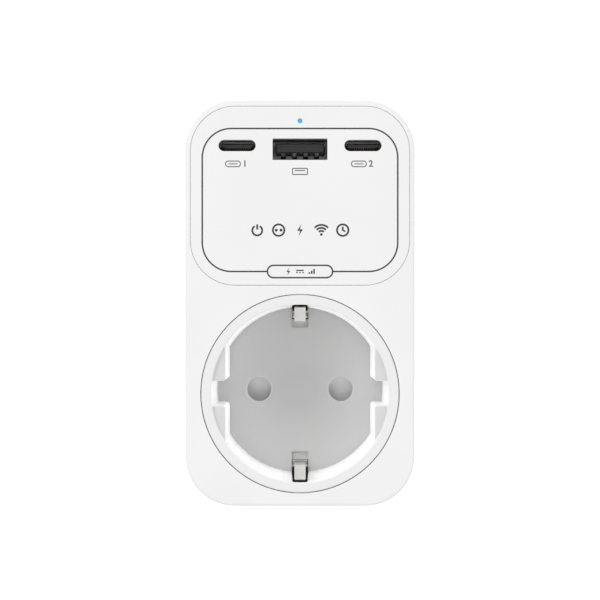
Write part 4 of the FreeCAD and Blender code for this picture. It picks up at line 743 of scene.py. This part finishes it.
def contact_pads(name, tongue):
    """Gilt pads above and below the tongue."""
    low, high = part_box(tongue)
    middle = between(low, high)
    clear()
    bpy.ops.mesh.primitive_cube_add(size=1)
    pad = bpy.context.object
    pad.scale = [length * MM for length in PAD_SIZE]
    pad.location = (middle.x - (PADS - 1) / 2 * PAD_PITCH * MM, low.y + PAD_MIDDLE * MM, middle.z)
    settle(pad)
    edit(pad)
    pick(pad, lambda spot, normal: normal.y < -0.5)
    bpy.ops.mesh.inset(thickness=0.005 * MM)
    bpy.ops.transform.translate(value=(0, -PAD_NOSE * MM, 0))
    bpy.ops.object.mode_set(mode="OBJECT")
    pads = []
    for side in (-1, 1):
        for step in range(PADS):
            pads.append(copy_at(pad, (step * PAD_PITCH * MM, 0, side * PAD_HEIGHT * MM)))
    bpy.data.objects.remove(pad)
    return merge(name, pads)


for side in ("left", "right"):
    pads = contact_pads("oval_port_%s_pads" % side, "oval_port_%s_tongue" % side)
    finished(pads, MATERIALS["contact_brass"])


# ---- Insulators in the ports --------------------------------------------------------------------------
# natural light grey thermoplastic, dull and even
INSULATOR_PLASTIC = moulded_plastic(
    "lcp_insulator_grey", ("#ECECEC", "#F1F1F1"), (0.5, 0.6), 0.5, 0.004, drift=3.0
)
WINDOW_GAP = 0.16         # round the tongue
NOTCH_W = 1.15            # round each contact strip of the wide port
NOTCH_H = 0.75
WIDE_PLATE_DEPTH = 9.2    # behind the fascia
WIDE_PLATE_T = 4.0
OVAL_PLATE_BACK = 1.8     # ahead of the back end of the tongue
OVAL_PLATE_T = 1.6


def port_insulator(name, size, window, notches, place, thick):
    """A moulded plate inside a port, with a window round the tongue and notches under the window.

    size is width, height and corner radius; window is half width, foot and top; notches is their middles,
    width and height. All in millimetres about the port's middle.
    """
    half, foot, top = window
    middles, wide, tall = notches
    plate = rounded_plane(*size)
    for x in [-half, half] + [m + side * wide / 2 for m in middles for side in (-1, 1)]:
        cut_across(x, (1, 0))
    for y in (top, foot, foot - tall):
        cut_across(y, (0, 1))
    drop(plate, lambda x, y: abs(x) < half and foot < y < top)
    if middles:
        drop(plate, lambda x, y: foot - tall < y < foot and min(abs(x - m) for m in middles) < wide / 2)
    thicken(plate, name, -thick * MM)
    apply_modifier(plate, "BEVEL", width=0.05 * MM, segments=2, limit_method="ANGLE")
    finished(lay(plate, *place), INSULATOR_PLASTIC)


STRIP_PITCH = 2.5
strips = [step * STRIP_PITCH for step in (-1.5, -0.5, 0.5, 1.5)]
tongue_low, tongue_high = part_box("wide_port_tongue")
port_insulator(
    "wide_port_insulator", (12.2, 4.8, 0.3),
    (
        tongue_high.x / MM + WINDOW_GAP,
        (tongue_low.z - wide_middle.z) / MM - WINDOW_GAP,
        (tongue_high.z - wide_middle.z) / MM + WINDOW_GAP,
    ),
    (strips, NOTCH_W, NOTCH_H), (0, fascia_y + WIDE_PLATE_DEPTH * MM, wide_middle.z), WIDE_PLATE_T,
)
for side, low, high in (("left", left_low, left_high), ("right", right_low, right_high)):
    middle = between(low, high)
    tongue_low, tongue_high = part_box("oval_port_%s_tongue" % side)
    half = (tongue_high.x - tongue_low.x) / 2 / MM + WINDOW_GAP
    tall = (tongue_high.z - tongue_low.z) / 2 / MM + WINDOW_GAP
    port_insulator(
        "oval_port_%s_insulator" % side, (8.36, 2.6, 1.28), (half, -tall, tall), ([], 0, 0.1),
        (middle.x, tongue_high.y - OVAL_PLATE_BACK * MM, middle.z), OVAL_PLATE_T,
    )


# ---- Rating label on the shoulder ---------------------------------------------------------------------
LABEL_FLOOR = -17.2 * MM  # floor of the recess that holds it
LABEL_W = 29.6
LABEL_H = 14.6
LABEL_T = 0.12
LABEL_RISE = 3 * MM       # above the middle of the shoulder over the plug's boss
BOSS_R = 18.5 * MM
LABEL_MARK = 3.6
LABEL_MARK_PITCH = 6.6
label_z = between(BOSS_R, housing_high.z) + LABEL_RISE
label = rounded_plane(LABEL_W, LABEL_H, 0.9)
thicken(label, "rating_label", LABEL_T * MM)
apply_modifier(label, "BEVEL", width=0.03 * MM, segments=2, limit_method="ANGLE")
finished(lay(label, 0, LABEL_FLOOR, label_z, to_wall=True), MATERIALS["polyester_film"])
label_row = [earth_mark, wave_mark, direct_mark, house_mark]
label_marks = []
for place, mark in enumerate(label_row):
    label_marks.append(inked(moved(mark(LABEL_MARK), (place - 1.5) * LABEL_MARK_PITCH), 0.3))
label_print = merge("rating_label_marks", label_marks)
lay(label_print, 0, LABEL_FLOOR + LABEL_T * MM, label_z, to_wall=True)
finished(label_print, MID_INK)


# ---- Spring of the shutter ---------------------------------------------------------------------------
SPRING_WIRE = 0.2 * MM    # radius
END_PITCH = 2.05          # rise of a closed end turn, in wire radii
ACTIVE_TURNS = 7
STEPS_PER_TURN = 24


def spring_section(turns, rise, wire, radius, start):
    """One wire circle swept round and up."""
    clear()
    bpy.ops.mesh.primitive_circle_add(vertices=10, radius=wire, rotation=(TO_FRONT, 0, 0))
    made = bpy.context.object
    made.location = (radius, 0, start)
    settle(made)
    apply_modifier(
        made, "SCREW", axis="Z", angle=math.radians(360 * turns), screw_offset=rise,
        steps=STEPS_PER_TURN * turns, render_steps=STEPS_PER_TURN * turns, use_merge_vertices=False,
    )
    return made


spring_middle = between(spring_low, spring_high)
spring_length = spring_high.z - spring_low.z
coil_radius = (spring_high.x - spring_low.x) / 2 - SPRING_WIRE
end_rise = SPRING_WIRE * END_PITCH
free_rise = spring_length - 2 * SPRING_WIRE - 2 * end_rise
spring_base = spring_low.z + SPRING_WIRE
sections = [
    spring_section(1, end_rise, SPRING_WIRE, coil_radius, spring_base),
    spring_section(ACTIVE_TURNS, free_rise, SPRING_WIRE, coil_radius, spring_base + end_rise),
    spring_section(1, end_rise, SPRING_WIRE, coil_radius, spring_base + end_rise + free_rise),
]
spring = merge("shutter_spring_coil", sections)
edit(spring, "VERT")
bpy.ops.mesh.select_all(action="SELECT")
bpy.ops.mesh.remove_doubles(threshold=0.01 * MM)
bpy.ops.mesh.select_all(action="DESELECT")
bpy.ops.mesh.select_non_manifold(extend=False)
bpy.ops.mesh.edge_face_add()
bpy.ops.object.mode_set(mode="OBJECT")
spring.location = (spring_middle.x, spring_middle.y, 0)
settle(spring)
outwards(spring)
hold(spring)
bpy.ops.object.shade_smooth_by_angle(angle=math.radians(40))
finished(spring, MATERIALS["spring_steel"])
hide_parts("shutter_spring")
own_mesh(spring)


# ---- Camera, light and floor -------------------------------------------------------------------------
CAMERA_BACK = 370 * MM    # from the front face
CAMERA_RISE = 0.78 * MM   # above the middle of the body's height
camera_data = bpy.data.cameras.new("camera")
camera_data.sensor_width = 36
camera_data.lens = 99.9
camera = bpy.data.objects.new("camera", camera_data)
camera.location = (0, front_y - CAMERA_BACK, middle_z + CAMERA_RISE)
camera.rotation_euler = (TO_FRONT, 0, 0)
bpy.context.collection.objects.link(camera)
bpy.context.scene.camera = camera


def softbox(name, place, size, watts):
    """A large square light aimed at the middle of the body."""
    data = bpy.data.lights.new(name, "AREA")
    data.size = size
    data.energy = watts
    made = bpy.data.objects.new(name, data)
    made.location = place
    aim = Vector((0, (cad_low.y + cad_high.y) / 2, middle_z)) - Vector(place)
    made.rotation_euler = aim.to_track_quat("-Z", "Y").to_euler()
    bpy.context.collection.objects.link(made)
    return made


softbox("key_softbox", (-0.9, -1.5, 0.8), 1.2, 8)
softbox("fill_softbox", (1.3, -1.3, 0.3), 1.2, 3)
softbox("back_softbox", (0.8, 1.6, 0.6), 1.4, 8)
softbox("back_fill", (-1.4, 1.2, 0.3), 1.2, 3)

# a weak disc just above the cup's floor stands in for the light that a thin white cup passes and scatters
CUP_DEPTH = 17.5 * MM
CUP_LIGHT_LIFT = 0.3 * MM
CUP_LIGHT_D = 24 * MM
CUP_LIGHT_WATTS = 0.0042
cup_light_data = bpy.data.lights.new("cup_fill", "AREA")
cup_light_data.shape = "DISK"
cup_light_data.size = CUP_LIGHT_D
cup_light_data.energy = CUP_LIGHT_WATTS
cup_light = bpy.data.objects.new("cup_fill", cup_light_data)
cup_light.location = (0, front_y + CUP_DEPTH - CUP_LIGHT_LIFT, 0)
cup_light.rotation_euler = (TO_FRONT, 0, TO_WALL)
cup_light.visible_camera = cup_light.visible_glossy = False
bpy.context.collection.objects.link(cup_light)

world = bpy.data.worlds.new("studio")
bpy.context.scene.world = world
world.use_nodes = True
tree = world.node_tree
tree.nodes.clear()
seen = add(tree, "ShaderNodeLightPath")
room = add(tree, "ShaderNodeBackground", {"Color": colour("#FFFFFF"), "Strength": 0.80})
backdrop = add(tree, "ShaderNodeBackground", {"Color": colour("#FFFFFF"), "Strength": 1.05})
mixed = add(
    tree, "ShaderNodeMixShader", {},
    {0: seen.outputs["Is Camera Ray"], 1: room.outputs["Background"], 2: backdrop.outputs["Background"]},
)
add(tree, "ShaderNodeOutputWorld", {}, {"Surface": mixed.outputs["Shader"]})

FLOOR_DROP = 260 * MM     # a plug hangs on a wall, so the floor is well below it
clear()
bpy.ops.mesh.primitive_plane_add(size=12)
floor = bpy.context.object
floor.name = "floor"
floor.location = (0, 0, cad_low.z - FLOOR_DROP)
settle(floor)
floor_material, tree, shader, place = new_material(
    "pale_studio_floor", {"Roughness": 0.8, "Emission Color": colour("#FFFFFF"), "Emission Strength": 0.8}
)
mottle = add(tree, "ShaderNodeTexNoise", {"Scale": per_metre(90.0), "Detail": 3.0}, {"Vector": place})
tree.links.new(tinted(tree, mottle.outputs["Fac"], ("#F4F4F3", "#F7F7F6")), shader.inputs["Base Color"])
floor.data.materials.append(floor_material)
floor.visible_diffuse = floor.visible_glossy = False
floor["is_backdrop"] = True

bpy.context.scene.view_settings.view_transform = "Standard"
bpy.context.scene.view_settings.look = "None"

low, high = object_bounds()
